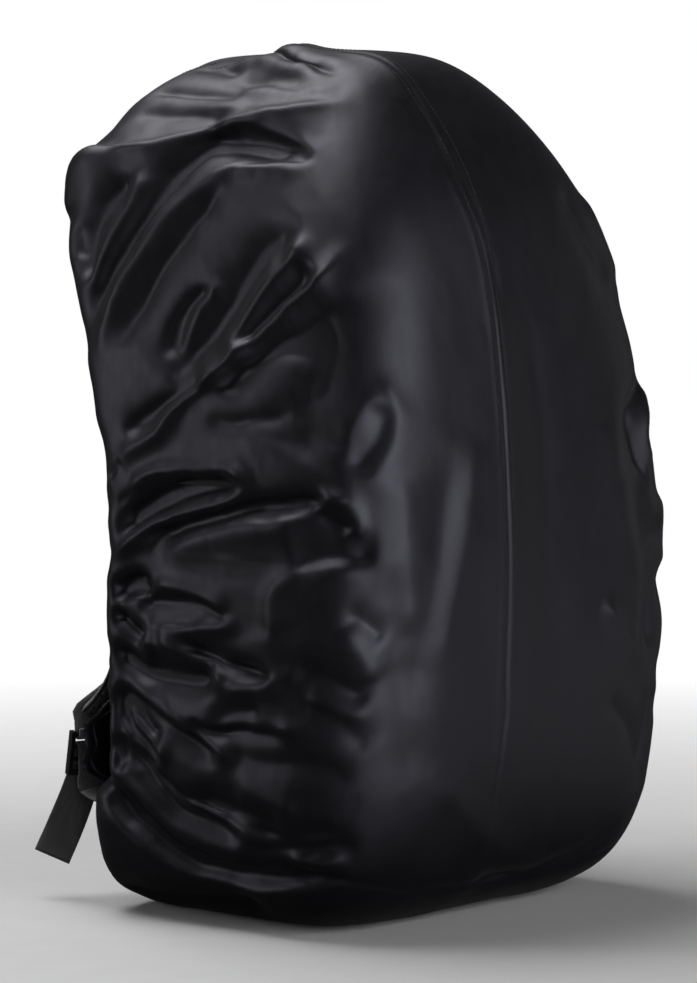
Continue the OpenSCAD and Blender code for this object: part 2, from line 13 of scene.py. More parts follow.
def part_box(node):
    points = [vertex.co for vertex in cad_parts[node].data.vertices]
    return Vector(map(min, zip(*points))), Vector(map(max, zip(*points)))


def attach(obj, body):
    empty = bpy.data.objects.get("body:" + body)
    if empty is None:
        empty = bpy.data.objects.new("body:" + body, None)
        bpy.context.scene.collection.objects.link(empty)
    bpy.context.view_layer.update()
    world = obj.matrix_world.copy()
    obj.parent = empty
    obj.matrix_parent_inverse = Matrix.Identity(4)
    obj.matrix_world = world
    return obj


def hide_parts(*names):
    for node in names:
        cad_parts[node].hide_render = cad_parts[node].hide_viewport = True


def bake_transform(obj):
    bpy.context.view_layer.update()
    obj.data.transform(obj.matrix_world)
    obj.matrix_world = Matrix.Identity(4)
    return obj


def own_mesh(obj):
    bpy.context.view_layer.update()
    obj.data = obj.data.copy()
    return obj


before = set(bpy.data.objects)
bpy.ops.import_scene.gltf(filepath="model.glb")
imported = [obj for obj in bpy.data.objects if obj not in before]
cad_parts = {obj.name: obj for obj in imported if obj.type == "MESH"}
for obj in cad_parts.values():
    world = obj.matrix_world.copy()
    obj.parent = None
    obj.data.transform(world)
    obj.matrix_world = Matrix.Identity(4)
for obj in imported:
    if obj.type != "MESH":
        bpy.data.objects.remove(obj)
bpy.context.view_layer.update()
MM = 0.001

# ---------------------------------------------------------------- shape of the bag
COVER_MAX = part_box("cover_shell")[1]
HALF_W = COVER_MAX[0] * 1000.0
BAG_H = COVER_MAX[2] * 1000.0
WAIST = 164.0  # height of the widest outline
MID_Y = 36.0  # plane that parts the front half from the back half
TOP_POWER, BASE_POWER = 2.34, 5.4  # roundness of the front view above and below the waist
FRONT_POWER, BACK_POWER = 5.44, 8.35  # roundness of the front and back edges
PACK_GAP = 9.0  # the pack lies this far inside the cover at the sides and top
PACK_BASE = 3.6
STATION_TOP = 540.0  # the depth stations are evenly spaced from 0 up to here
HEIGHTS = np.arange(551.0)
SEAM_X = -36.0  # the cover's long seam
HEM_WIDTH = 0.80  # the hem's share of the full outline


def cubic(a, b, c, d, u):
    """Catmull-Rom between b and c."""
    return 0.5 * (2 * b + (c - a) * u + (2 * a - 5 * b + 4 * c - d) * u * u
                  + (3 * b - a - 3 * c + d) * u ** 3)


def extended(points):
    return np.concatenate([[2 * points[0] - points[1]], points, [2 * points[-1] - points[-2]]])


def depth_profile(stations):
    """Depth from the middle plane at every millimetre of height."""
    count = len(stations)
    ends = extended(np.array(stations, float))
    place = np.clip(HEIGHTS / STATION_TOP * (count - 1), 0, count - 1.00001)
    i = place.astype(int)
    return cubic(*(ends[i + k] for k in range(4)), place - i)


COVER_FRONT = depth_profile([138, 157, 164, 162, 154, 138, 96])
COVER_BACK = depth_profile([90, 77, 63, 70, 107, 155, 136])
PACK_FRONT = COVER_FRONT - 22.0
PACK_BACK = depth_profile([76, 64, 51, 56, 68, 76, 68])


def outline_radius(angle, inset, half_w, height, base):
    """Distance of the front-view outline from the waist's centre."""
    cosine, sine = np.abs(np.cos(angle)), np.sin(angle)
    power = np.where(sine >= 0, TOP_POWER, BASE_POWER)
    reach = np.where(sine >= 0, height - WAIST - inset, WAIST - base - inset)
    return ((cosine / (half_w - inset)) ** power + (np.abs(sine) / reach) ** power) ** (-1 / power)


def body_point(angle, polar, inset, half_w=HALF_W, height=BAG_H, base=-2.0,
               front=COVER_FRONT, back=COVER_BACK, floor=0.0):
    """Point of a bag body. angle runs round the front view from +X and polar from the front
    pole, in radians; inset is the depth inside the face. Grids of rows in polar by columns in
    angle have outward normals."""
    angle, polar, inset = np.broadcast_arrays(
        np.asarray(angle, float), np.asarray(polar, float), np.asarray(inset, float))
    forward = polar <= math.pi / 2
    power = np.where(forward, FRONT_POWER, BACK_POWER)
    sine, cosine = np.abs(np.sin(polar)), np.abs(np.cos(polar))
    norm = (sine ** power + cosine ** power) ** (1 / power)
    spread = sine / norm * outline_radius(angle, inset, half_w, height, base)
    z = WAIST + spread * np.sin(angle)
    level = np.clip(z, 0, 550)
    depth = np.where(forward, inset - np.interp(level, HEIGHTS, front),
                     np.interp(level, HEIGHTS, back) - inset)
    y = MID_Y + depth * (cosine / norm)
    return np.stack([spread * np.cos(angle), y, np.maximum(z, floor)], -1)


def pack_point(angle, polar, inset):
    return body_point(angle, polar, inset, HALF_W - PACK_GAP, BAG_H - PACK_GAP, PACK_BASE,
                      PACK_FRONT, PACK_BACK, 1.6)


def pack_back_y(z):
    return MID_Y + np.interp(z, HEIGHTS, PACK_BACK)


def front_polar(width, power=FRONT_POWER):
    """Polar angle at which the body has this share of its full outline."""
    return np.arctan2(width, (1 - width ** power) ** (1 / power))


HEM_POLAR = math.pi - front_polar(HEM_WIDTH, BACK_POWER)


# ---------------------------------------------------------------- curves and noise
def unit(vectors):
    return vectors / (np.linalg.norm(vectors, axis=-1, keepdims=True) + 1e-12)


def normals(grid, ring):
    """Unit normals of a grid, rows by columns."""
    down = np.gradient(grid, axis=0)
    if ring:
        around = (np.roll(grid, -1, 1) - np.roll(grid, 1, 1)) / 2
    else:
        around = np.gradient(grid, axis=1)
    return unit(np.cross(down, around))


def circle(count):
    return np.linspace(0, 2 * math.pi, count + 1)[:-1]


def arc(start, end, count):
    return np.radians(np.linspace(start, end, count))


def run_length(path):
    return np.concatenate([[0], np.cumsum(np.linalg.norm(np.diff(path, axis=0), axis=1))])


def along(distance, run, values):
    return np.array([np.interp(distance, run, values[:, k]) for k in range(3)])


def spline(points, steps):
    points = np.asarray(points, float)
    ends = extended(points)
    out = []
    for i in range(len(points) - 1):
        out += [cubic(*ends[i:i + 4], k / steps) for k in range(steps)]
    return np.array(out + [points[-1]])


def smoothstep(start, end, x):
    t = np.clip((x - start) / (end - start), 0, 1)
    return t * t * (3 - 2 * t)


@functools.cache
def lattice(seed):
    return np.random.RandomState(seed).uniform(-1, 1, (32, 32, 32))


def noise(points, cell, seed):
    """Smooth value noise in -1..1, with lattice cells of the given size."""
    grid = lattice(seed)
    place = np.asarray(points, float) / cell + 1000.0
    corner = np.floor(place).astype(int)
    part = place - corner
    part = part * part * part * (part * (part * 6 - 15) + 10)
    x0, y0, z0 = np.moveaxis(corner % 32, -1, 0)
    x1, y1, z1 = np.moveaxis((corner % 32 + 1) % 32, -1, 0)
    part_x, part_y, part_z = np.moveaxis(part, -1, 0)

    def edge(y, z):
        return grid[x0, y, z] * (1 - part_x) + grid[x1, y, z] * part_x

    low = edge(y0, z0) * (1 - part_y) + edge(y1, z0) * part_y
    high = edge(y0, z1) * (1 - part_y) + edge(y1, z1) * part_y
    return low * (1 - part_z) + high * part_z


def noise_vector(points, cell, seed):
    return np.stack([noise(points, cell, seed + k) for k in range(3)], -1)


def ridged(x):
    return 1.0 - 2.0 * np.abs(x)


# ---------------------------------------------------------------- mesh helpers
def recalculate_normals(ob):
    bm = bmesh.new()
    bm.from_mesh(ob.data)
    bmesh.ops.recalc_face_normals(bm, faces=bm.faces)
    bm.to_mesh(ob.data)
    bm.free()


def mesh_obj(name, verts, faces, mat):
    """Smooth closed mesh from points in millimetres."""
    mesh = bpy.data.meshes.new(name)
    mesh.from_pydata([tuple(v) for v in np.asarray(verts, float) * MM], [],
                     [tuple(map(int, f)) for f in faces])
    mesh.update()
    mesh.polygons.foreach_set("use_smooth", [True] * len(mesh.polygons))
    ob = bpy.data.objects.new(name, mesh)
    bpy.context.collection.objects.link(ob)
    mesh.materials.append(mat)
    recalculate_normals(ob)
    return ob


def grid_faces(rows, cols, ring=False, first=0, flip=False):
    i, j = np.meshgrid(np.arange(rows - 1), np.arange(cols if ring else cols - 1), indexing="ij")
    a = i * cols + j
    b = i * cols + (j + 1) % cols
    quads = np.stack([a, b, b + cols, a + cols], -1).reshape(-1, 4) + first
    return quads[:, ::-1] if flip else quads


def shell_obj(name, outer, thickness, mat, ring=False, pole=None, pole_end=None):
    """Closed skin inside a grid. pole closes the first row, pole_end the last."""
    rows, cols = outer.shape[:2]
    inner = outer - normals(outer, ring) * thickness
    count = rows * cols
    last = count - cols
    verts = np.vstack([outer.reshape(-1, 3), inner.reshape(-1, 3)])
    faces = [*grid_faces(rows, cols, ring), *grid_faces(rows, cols, ring, count, True)]
    here = np.arange(cols if ring else cols - 1)
    after = (here + 1) % cols
    if pole_end is None:
        faces += [(last + a, last + b, count + last + b, count + last + a)
                  for a, b in zip(here, after)]
    if pole is None:
        faces += [(a, count + a, count + b, b) for a, b in zip(here, after)]
    if not ring:
        starts = range(0, last, cols)
        faces += [(a, a + cols, count + a + cols, count + a) for a in starts]
        faces += [(a, count + a, count + a + cols, a + cols)
                  for a in (start + cols - 1 for start in starts)]
    for tip, row, pairs in ((pole, 0, (after, here)), (pole_end, rows - 1, (here, after))):
        if tip is None:
            continue
        centre, start = len(verts), row * cols
        shift = inner[row].mean(0) - outer[row].mean(0)
        verts = np.vstack([verts, tip, tip + shift])
        faces += [(centre, start + a, start + b) for a, b in zip(*pairs)]
        faces += [(centre + 1, count + start + b, count + start + a) for a, b in zip(*pairs)]
    return mesh_obj(name, verts, faces, mat)


def tube_obj(name, sections, mat, closed=False):
    """Skin over a row of ring sections, capped or joined end to end."""
    sections = np.asarray(sections, float)
    rows, cols = sections.shape[:2]
    faces = list(grid_faces(rows, cols, True, 0, True))
    last = (rows - 1) * cols
    if closed:
        a = np.arange(cols)
        b = (a + 1) % cols
        faces += list(np.stack([a, b, last + b, last + a], -1))
    else:
        faces += [range(cols), range(last, rows * cols)[::-1]]
    return mesh_obj(name, sections.reshape(-1, 3), faces, mat)


def path_frames(path, across):
    """Tangent, width and normal vectors along a path with wanted width directions."""
    tangent = unit(np.gradient(np.asarray(path, float), axis=0))
    across = np.asarray(across, float)
    across = unit(across - (across * tangent).sum(1, keepdims=True) * tangent)
    return tangent, across, np.cross(tangent, across)


def strip_sections(path, across, width, thick, cols=10, crown=0.12, edge=0.5):
    """Sections of a woven band: crowned faces with rounded edges."""
    _, across, normal = path_frames(path, across)
    width = np.broadcast_to(width, len(path))
    rise = thick / 2
    out = []
    for i in range(len(path)):
        half = width[i] / 2
        xs = np.linspace(edge - half, half - edge, cols)
        top = [(x, rise + crown * (1 - (x / half) ** 2)) for x in xs]
        bottom = [(x, -y) for x, y in top[::-1]]
        section = [(-half, -rise * 0.35), (-half, rise * 0.35), *top,
                   (half, rise * 0.35), (half, -rise * 0.35), *bottom]
        out.append([path[i] + x * across[i] + y * normal[i] for x, y in section])
    return np.array(out)


def cord_obj(name, path, radius, mat, closed=False, sides=8):
    path = np.asarray(path, float)
    if closed:
        tangent = unit(np.roll(path, -1, 0) - np.roll(path, 1, 0))
    else:
        tangent = unit(np.gradient(path, axis=0))
    reference = np.where(np.abs(tangent[:, 1:2]) < 0.8, [[0, 1.0, 0]], [[0, 0, 1.0]])
    first = unit(np.cross(tangent, reference))
    second = np.cross(tangent, first)
    turn = circle(sides)[None, :, None]
    sections = path[:, None] + radius * (np.cos(turn) * first[:, None]
                                         + np.sin(turn) * second[:, None])
    return tube_obj(name, sections, mat, closed)


# place along a stitch and its rise, as shares of the length and the radius
STITCH = ((0, -0.25), (0.18, 0.6), (0.5, 1.0), (0.82, 0.6), (1, -0.25))


def stitches(name, path, normal, mat, pitch, length, radius, lift):
    """A run of separate stitches along a path, lying on the surface with these normals."""
    path, normal = np.asarray(path, float), np.asarray(normal, float)
    run = run_length(path)
    verts, faces = [], []
    for start in np.arange(pitch / 2, run[-1] - length, pitch):
        spine = [(along(start + share * length, run, path),
                  unit(along(start + share * length, run, normal)), rise)
                 for share, rise in STITCH]
        heading = unit(spine[-1][0] - spine[0][0])
        first = len(verts)
        for point, up, rise in spine:
            across = np.cross(up, heading)
            centre = point + up * (lift + radius * rise)
            verts += [centre + radius * (math.cos(a) * across + math.sin(a) * up)
                      for a in circle(5)]
        faces += [*grid_faces(5, 5, True, first), range(first, first + 5)[::-1],
                  range(first + 20, first + 25)]
    return mesh_obj(name, verts, faces, mat)


def subdivide(ob):
    """Subdivides once and keeps the result as the mesh."""
    ob.modifiers.new("sub", "SUBSURF").levels = 1
    graph = bpy.context.evaluated_depsgraph_get()
    mesh = bpy.data.meshes.new_from_object(ob.evaluated_get(graph))
    coarse = ob.data
    ob.modifiers.clear()
    ob.data = mesh
    bpy.data.meshes.remove(coarse)
    recalculate_normals(ob)


def join(name, parts, mat):
    """Joins smooth meshes of one material."""
    verts, faces = [], []
    for part in parts:
        first = len(verts)
        verts += [tuple(v.co) for v in part.data.vertices]
        faces += [tuple(first + i for i in p.vertices) for p in part.data.polygons]
        bpy.data.objects.remove(part, do_unlink=True)
    mesh = bpy.data.meshes.new(name)
    mesh.from_pydata(verts, [], faces)
    mesh.materials.append(mat)
    mesh.polygons.foreach_set("material_index", [0] * len(faces))
    mesh.polygons.foreach_set("use_smooth", [True] * len(faces))
    mesh.update()
    ob = bpy.data.objects.new(name, mesh)
    bpy.context.collection.objects.link(ob)
    return ob


def piece(ob, body, slot, *nodes):
    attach(ob, body)
    if nodes:
        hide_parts(*nodes)


# ---------------------------------------------------------------- materials
INPUTS = {"base": "Base Color", "rough": "Roughness", "metal": "Metallic",
          "spec": "Specular IOR Level", "sheen": "Sheen Weight",
          "sheen_rough": "Sheen Roughness", "coat": "Coat Weight", "normal": "Normal"}


def shade(color, factor):
    return tuple(x * factor for x in color)


class Shader:
    """A Principled material being built on object coordinates."""

    def __init__(self, name):
        self.material = bpy.data.materials.new(name)
        self.material.use_nodes = True
        self.tree = self.material.node_tree
        self.principled = self.tree.nodes["Principled BSDF"]
        self.coords = self.add("ShaderNodeTexCoord").outputs["Object"]

    def add(self, kind):
        return self.tree.nodes.new(kind)

    def feed(self, value, socket):
        """Links an output to a socket, or sets the socket to a number."""
        if isinstance(value, bpy.types.NodeSocket):
            self.tree.links.new(value, socket)
        else:
            socket.default_value = value

    def math(self, operation, *values):
        node = self.add("ShaderNodeMath")
        node.operation = operation
        for i, value in enumerate(values):
            self.feed(value, node.inputs[i])
        return node.outputs[0]

    def mix(self, first, second, share):
        """Sum of two values, the first weighted by share and the second by the rest."""
        return self.math("ADD", self.math("MULTIPLY", first, share),
                         self.math("MULTIPLY", second, 1 - share))

    def split(self, vector):
        node = self.add("ShaderNodeSeparateXYZ")
        self.feed(vector, node.inputs[0])
        return node.outputs

    def noise(self, scale, detail=3, rough=0.6, distortion=0.0, stretch=None):
        vector = self.coords
        if stretch:
            mapping = self.add("ShaderNodeMapping")
            mapping.inputs["Scale"].default_value = stretch
            self.feed(vector, mapping.inputs["Vector"])
            vector = mapping.outputs["Vector"]
        node = self.add("ShaderNodeTexNoise")
        node.inputs["Scale"].default_value = scale
        node.inputs["Detail"].default_value = detail
        node.inputs["Roughness"].default_value = rough
        node.inputs["Distortion"].default_value = distortion
        self.feed(vector, node.inputs["Vector"])
        return node.outputs["Fac"]

    def ramp(self, value, *stops):
        """Colour ramp through (position, colour) stops."""
        node = self.add("ShaderNodeValToRGB")
        elements = node.color_ramp.elements
        while len(elements) > 1:
            elements.remove(elements[-1])
        elements[0].position = stops[0][0]
        elements[0].color = (*stops[0][1], 1)
        for position, color in stops[1:]:
            elements.new(position).color = (*color, 1)
        self.feed(value, node.inputs["Fac"])
        return node.outputs["Color"]

    def bump(self, height, strength, distance, under=None):
        node = self.add("ShaderNodeBump")
        node.inputs["Strength"].default_value = strength
        node.inputs["Distance"].default_value = distance
        self.feed(height, node.inputs["Height"])
        if under is not None:
            self.feed(under, node.inputs["Normal"])
        return node.outputs["Normal"]

    def remap(self, value, source, target):
        node = self.add("ShaderNodeMapRange")
        for i, limit in enumerate((*source, *target), 1):
            node.inputs[i].default_value = limit
        self.feed(value, node.inputs[0])
        return node.outputs[0]

    def weave(self, pitch):
        """Plain weave height at a pitch in metres, on whichever plane the face looks."""
        waves = [self.math("SINE", self.math("MULTIPLY", axis, math.pi / pitch))
                 for axis in self.split(self.coords)]
        planes = [self.math("MULTIPLY", waves[a], waves[b]) for a, b in ((1, 2), (0, 2), (0, 1))]
        facing = self.split(self.add("ShaderNodeNewGeometry").outputs["Normal"])
        weights = [self.math("POWER", self.math("ABSOLUTE", axis), 3.0) for axis in facing]
        parts = [self.math("MULTIPLY", p, w) for p, w in zip(planes, weights)]
        return self.math("ADD", self.math("ADD", parts[0], parts[1]), parts[2])

    def finish(self, **settings):
        for key, value in settings.items():
            self.feed(value, self.principled.inputs[INPUTS[key]])
        return self.material


def cover_material():
    """Coated nylon: near black, satin, with a fine weave and soft handling creases."""
    g = Shader("coated_nylon")
    broad = g.noise(scale=9.0, detail=2, rough=0.5)
    middle = g.noise(scale=42.0, detail=4, rough=0.55, distortion=0.6, stretch=(1.0, 1.6, 0.55))
    fine = g.noise(scale=170.0, distortion=0.3, stretch=(1.0, 1.0, 0.8))
    normal = g.bump(g.weave(pitch=0.0007), strength=0.18, distance=0.00008)
    normal = g.bump(middle, strength=0.16, distance=0.0016, under=normal)
    normal = g.bump(fine, strength=0.14, distance=0.00035, under=normal)
    base = g.ramp(g.mix(broad, middle, share=0.6), (0.3, (0.0016, 0.0017, 0.0023)),
                  (0.55, (0.0022, 0.0024, 0.0033)), (0.8, (0.0031, 0.0033, 0.0045)))
    rough = g.remap(g.mix(middle, fine, share=0.5), source=(0.3, 0.7), target=(0.425, 0.515))
    g.principled.inputs["Specular Tint"].default_value = (0.835, 0.835, 1.0, 1)
    return g.finish(base=base, rough=rough, spec=0.6, sheen=0.03, sheen_rough=0.4, normal=normal)


def fabric(name, color, pitch, rough=0.72, sheen=0.25, vary=0.25, bump=0.6, mesh=False):
    """Woven cloth, or open spacer mesh, with a thread pitch in metres."""
    g = Shader(name)
    broad = g.noise(scale=14.0)
    fine = g.noise(scale=900.0, detail=2)
    if mesh:
        holes = g.add("ShaderNodeTexVoronoi")
        holes.feature = "F1"
        holes.inputs["Scale"].default_value = 1.0 / pitch
        g.feed(g.coords, holes.inputs["Vector"])
        rim = g.remap(holes.outputs["Distance"], source=(0.15, 0.55), target=(1.0, 0.0))
        height = g.math("SUBTRACT", 1.0, rim)
        normal = g.bump(height, strength=bump, distance=0.0006)
        value = g.mix(broad, height, share=0.4)
    else:
        height = g.weave(pitch)
        normal = g.bump(height, strength=bump, distance=pitch * 0.22)
        value = g.mix(broad, g.remap(height, source=(-1, 1), target=(0, 1)), share=0.6)
    normal = g.bump(fine, strength=0.15, distance=0.0002, under=normal)
    base = g.ramp(value, (0.25, shade(color, 1 - vary)), (0.75, shade(color, 1 + vary)))
    rough = g.remap(fine, source=(0.3, 0.7), target=(rough - 0.05, rough + 0.05))
    return g.finish(base=base, rough=rough, sheen=sheen, sheen_rough=0.4, normal=normal, spec=0.4)


def webbing_material(name, color, run_axis):
    """Ribbed tape running along one axis: ribs across, fine diagonal yarns."""
    g = Shader(name)
    axes = g.split(g.coords)
    ribs = g.math("MULTIPLY", axes[run_axis], 2 * math.pi / 0.00125)
    diagonal = g.math("ADD", axes[0], axes[1] if run_axis == 2 else axes[2])
    yarn = g.math("SINE", g.math("MULTIPLY", diagonal, 2 * math.pi / 0.0016))
    # the yarns' sine is made twice: once to bend the ribs, once as relief
    bent = g.math("SINE", g.math("ADD", ribs, g.math("MULTIPLY", yarn, 1.1)))
    relief = g.math("SINE", yarn.node.inputs[0].links[0].from_socket)
    height = g.mix(bent, relief, share=0.65)
    broad = g.noise(scale=60.0)
    fine = g.noise(scale=1500.0, detail=2)
    normal = g.bump(height, strength=0.4, distance=0.0002)
    normal = g.bump(fine, strength=0.2, distance=0.00015, under=normal)
    value = g.mix(g.remap(height, source=(-1, 1), target=(0, 1)), broad, share=0.6)
    base = g.ramp(value, (0.2, shade(color, 0.78)), (0.8, shade(color, 1.25)))
    return g.finish(base=base, rough=0.62, sheen=0.35, sheen_rough=0.35, normal=normal, spec=0.45)


def plastic(name, color, rough=0.42, grain=0.25, coat=0.0):
    g = Shader(name)
    fine = g.noise(scale=1400.0)
    broad = g.noise(scale=45.0, detail=4)
    wear = g.noise(scale=220.0, stretch=(1, 1, 6))
    normal = g.bump(fine, strength=grain, distance=0.00006)
    base = g.ramp(broad, (0.3, shade(color, 0.85)), (0.7, shade(color, 1.2)))
    rough = g.remap(g.mix(wear, broad, share=0.6), source=(0.3, 0.7),
                    target=(rough - 0.08, rough + 0.1))
    return g.finish(base=base, rough=rough, normal=normal, spec=0.5, coat=coat)


def metal(name, color, rough, stretch, bump=0.2):
    g = Shader(name)
    grain = g.noise(scale=400.0, stretch=stretch)
    broad = g.noise(scale=30.0)
    normal = g.bump(grain, strength=bump, distance=0.00005)
    base = g.ramp(broad, (0.3, shade(color, 0.85)), (0.7, color))
    rough = g.remap(grain, source=(0.3, 0.7), target=(rough - 0.08, rough + 0.08))
    return g.finish(base=base, metal=1.0, rough=rough, normal=normal)


def cord_material(name, color):
    g = Shader(name)
    wave = g.add("ShaderNodeTexWave")
    wave.wave_type = "BANDS"
    wave.bands_direction = "DIAGONAL"
    wave.inputs["Scale"].default_value = 320.0
    wave.inputs["Distortion"].default_value = 1.5
    wave.inputs["Detail"].default_value = 1.0
    g.feed(g.coords, wave.inputs["Vector"])
    braid = wave.outputs["Fac"]
    fine = g.noise(scale=1200.0, detail=2)
    normal = g.bump(braid, strength=0.6, distance=0.0003)
    normal = g.bump(fine, strength=0.2, distance=0.0001, under=normal)
    base = g.ramp(braid, (0.2, shade(color, 0.5)), (0.8, shade(color, 1.6)))
    return g.finish(base=base, rough=0.6, sheen=0.3, normal=normal)


M_COVER = cover_material()
M_PACK = fabric("pack_polyester", (0.028, 0.029, 0.033), pitch=0.0011, rough=0.68, vary=0.3)
M_POCKET = fabric("pocket_polyester", (0.024, 0.025, 0.028), pitch=0.0011, rough=0.7, vary=0.3)
M_STRETCH = fabric("stretch_mesh_pocket", (0.018, 0.018, 0.02), pitch=0.0022, rough=0.8,
                   sheen=0.3, vary=0.3, bump=0.8, mesh=True)
M_BASE = fabric("base_nylon", (0.012, 0.012, 0.013), pitch=0.0016, rough=0.55, sheen=0.15,
                vary=0.3, bump=0.7)
M_MESH = fabric("spacer_mesh", (0.034, 0.035, 0.038), pitch=0.0034, rough=0.85, sheen=0.35,
                vary=0.35, bump=1.0, mesh=True)
M_PANEL = fabric("back_fabric", (0.022, 0.022, 0.025), pitch=0.0013, rough=0.75)
M_BIND = fabric("edge_binding", (0.012, 0.012, 0.013), pitch=0.0009, rough=0.6, sheen=0.3,
                vary=0.2)
M_WEB = webbing_material("strap_webbing_weave", (0.155, 0.155, 0.157), run_axis=2)
# the same webbing made lighter for the shoulder strap's tape: painted light for the light that the
# lamps don't put on its face
M_WEB_PAINTED_LIGHTER = webbing_material("strap_webbing_painted_lighter", (0.30, 0.30, 0.308), run_axis=2)
# pad fabric: a grey of its own, made much lighter than the pack fabric partly as painted light for
# the lit rounded end of the pad by the lock
M_PAD = fabric("pad_polyester", (0.225, 0.23, 0.242), pitch=0.0011, rough=0.66, sheen=0.3,
               vary=0.3)
M_WEB_CROSS = webbing_material("cross_webbing_weave", (0.060, 0.060, 0.063), run_axis=0)
M_CORD = cord_material("braided_elastic", (0.012, 0.012, 0.013))
M_PLASTIC = plastic("moulded_acetal", (0.013, 0.013, 0.014))
M_SHEET = plastic("frame_polyethylene", (0.72, 0.73, 0.76), rough=0.45, grain=0.15)
M_TAPE = plastic("seam_tape_film", (0.035, 0.035, 0.04), rough=0.28, grain=0.1, coat=0.2)
M_ALU = metal("stay_aluminium", (0.72, 0.73, 0.75), rough=0.32, stretch=(1, 1, 18))
M_STEEL = metal("spring_wire", (0.6, 0.6, 0.62), rough=0.25, stretch=(1, 1, 1))
M_SLIDER = metal("slider_black_zinc", (0.16, 0.16, 0.17), rough=0.35, stretch=(1, 1, 1), bump=0.3)
M_COIL = plastic("zip_nylon", (0.012, 0.012, 0.013), rough=0.35, grain=0.2)
M_ZIP_TAPE = fabric("zip_knit_tape", (0.014, 0.014, 0.016), pitch=0.0008, rough=0.75,
                    sheen=0.2, vary=0.2)
M_THREAD = fabric("thread", (0.03, 0.03, 0.033), pitch=0.0004, rough=0.6, sheen=0.4, vary=0.2)
M_COVER_THREAD = fabric("cover_thread", (0.008, 0.008, 0.009), pitch=0.0004, rough=0.55,
                        sheen=0.3, vary=0.2)


# ---------------------------------------------------------------- cloth solver
def pull(cloth, first, second, length, strength, push=1.0):
    """Moves two sets of points towards a distance; push below 1 resists squeezing less."""
    start, end = cloth[first], cloth[second]
    gap = end - start
    now = np.sqrt((gap * gap).sum(-1)) + 1e-9
    strain = (now - length) / now
    weight = np.where(strain > 0, 0.5 * strength, 0.5 * strength * push)
    move = gap * (strain * weight)[..., None]
    cloth[first] = start + move
    cloth[second] = end - move


def blur(field, times):
    """Small box blur of a ring grid."""
    for _ in range(times):
        field = 0.5 * field + 0.25 * (np.roll(field, 1, 1) + np.roll(field, -1, 1))
        out = field.copy()
        out[1:-1] = 0.5 * field[1:-1] + 0.25 * (field[2:] + field[:-2])
        field = out
    return field


def rest_length(flat, shaped, slack):
    """Pattern length, stretched as the sculpted shape is nearby, plus spare length."""
    ratio = np.linalg.norm(shaped, axis=-1) / np.maximum(flat, 1e-6)
    return flat * (blur(np.clip(ratio, 0.9, 1.6), 3) + 0.5 * slack)


def relax(cloth, pattern, goal, slack_down, slack_round, lowest, hold, passes, bend):
    """Relaxes a ring grid as cloth. pattern is the smooth shape and goal the sculpted one, held
    with strength hold; slack_* is spare length; lowest limits the offset from the pattern."""
    rows, cols = cloth.shape[:2]
    normal = normals(pattern, True)
    down = pattern[1:] - pattern[:-1]
    around = np.roll(pattern, -1, 1) - pattern
    down_flat, around_flat = (np.linalg.norm(v, axis=-1) for v in (down, around))
    down_rest = rest_length(down_flat, goal[1:] - goal[:-1], slack_down[1:] + slack_down[:-1])
    around_rest = rest_length(around_flat, np.roll(goal, -1, 1) - goal,
                              slack_round + np.roll(slack_round, -1, 1))
    # shear rests from the pattern's own diagonals, stretched alike
    down = down * (down_rest / np.maximum(down_flat, 1e-6))[..., None]
    around = (around * (around_rest / np.maximum(around_flat, 1e-6))[..., None])[:-1]
    falling, rising = (np.linalg.norm(v, axis=-1) for v in (down + around, down - around))
    # bending: neighbours two apart keep most of their distance
    down_bend = (down_rest[1:] + down_rest[:-1]) * 0.985
    around_bend = (around_rest + np.roll(around_rest, -1, 1)) * 0.985
    here = np.arange(cols)
    after = (here + 1) % cols
    for _ in range(passes):
        cloth += hold * (goal - cloth)
        for start in (0, 1):
            i = np.arange(start, rows - 1, 2)
            pull(cloth, i, i + 1, down_rest[i], strength=0.9, push=0.9)
        for start in (0, 1):
            j = np.arange(start, cols, 2)
            pull(cloth, np.s_[:, j], np.s_[:, (j + 1) % cols], around_rest[:, j],
                 strength=0.9, push=0.9)
        for start in (0, 1):
            i = np.arange(start, rows - 1, 2)
            for near, far, length in ((here, after, falling), (after, here, rising)):
                pull(cloth, np.ix_(i, near), np.ix_(i + 1, far), length[i],
                     strength=0.45, push=0.7)
        for start in range(4):
            i = np.arange(start, rows - 2, 4)
            pull(cloth, i, i + 2, down_bend[i], bend)
        for start in range(4):
            j = np.arange(start, cols, 4)
            pull(cloth, np.s_[:, j], np.s_[:, (j + 2) % cols], around_bend[:, j], bend)
        offset = ((cloth - pattern) * normal).sum(-1)
        cloth -= normal * np.minimum(offset - lowest, 0)[..., None]
        cloth[..., 2] = np.maximum(cloth[..., 2], -3.0)
    return cloth


def resample(grid, rows, cols):
    """Smooth resampling of a ring grid."""
    for axis, place in ((0, np.linspace(0, grid.shape[0] - 1, rows)),
                        (1, np.arange(cols) * grid.shape[1] / cols)):
        i = np.floor(place).astype(int)
        size = grid.shape[axis]
        picks = [(i + k) % size if axis else np.clip(i + k, 0, size - 1) for k in (-1, 0, 1, 2)]
        shape = [1] * grid.ndim
        shape[axis] = -1
        grid = cubic(*(np.take(grid, pick, axis=axis) for pick in picks),
                     (place - i).reshape(shape))
    return grid


def smooth_ring(grid, amount, times):
    for _ in range(times):
        beside = (np.roll(grid, 1, 1) + np.roll(grid, -1, 1)) * 0.5
        grid = grid + amount * 0.5 * (beside - grid)
        out = grid.copy()
        out[1:-1] += amount * 0.5 * ((grid[2:] + grid[:-2]) * 0.5 - grid[1:-1])
        grid = out
    return grid


# ---------------------------------------------------------------- rain cover: crease tables
def crease_table(text):
    """Entries end in ";". Each is the crease's height (negative for a valley) and flank widths
    above and below it, then the x y z points of its path on the bag."""
    table = []
    for entry in text.split(";"):
        head, path = entry.split(":")
        points = [[float(v) for v in point.split()] for point in path.split(",")]
        table.append((*map(float, head.split()), points))
    return table


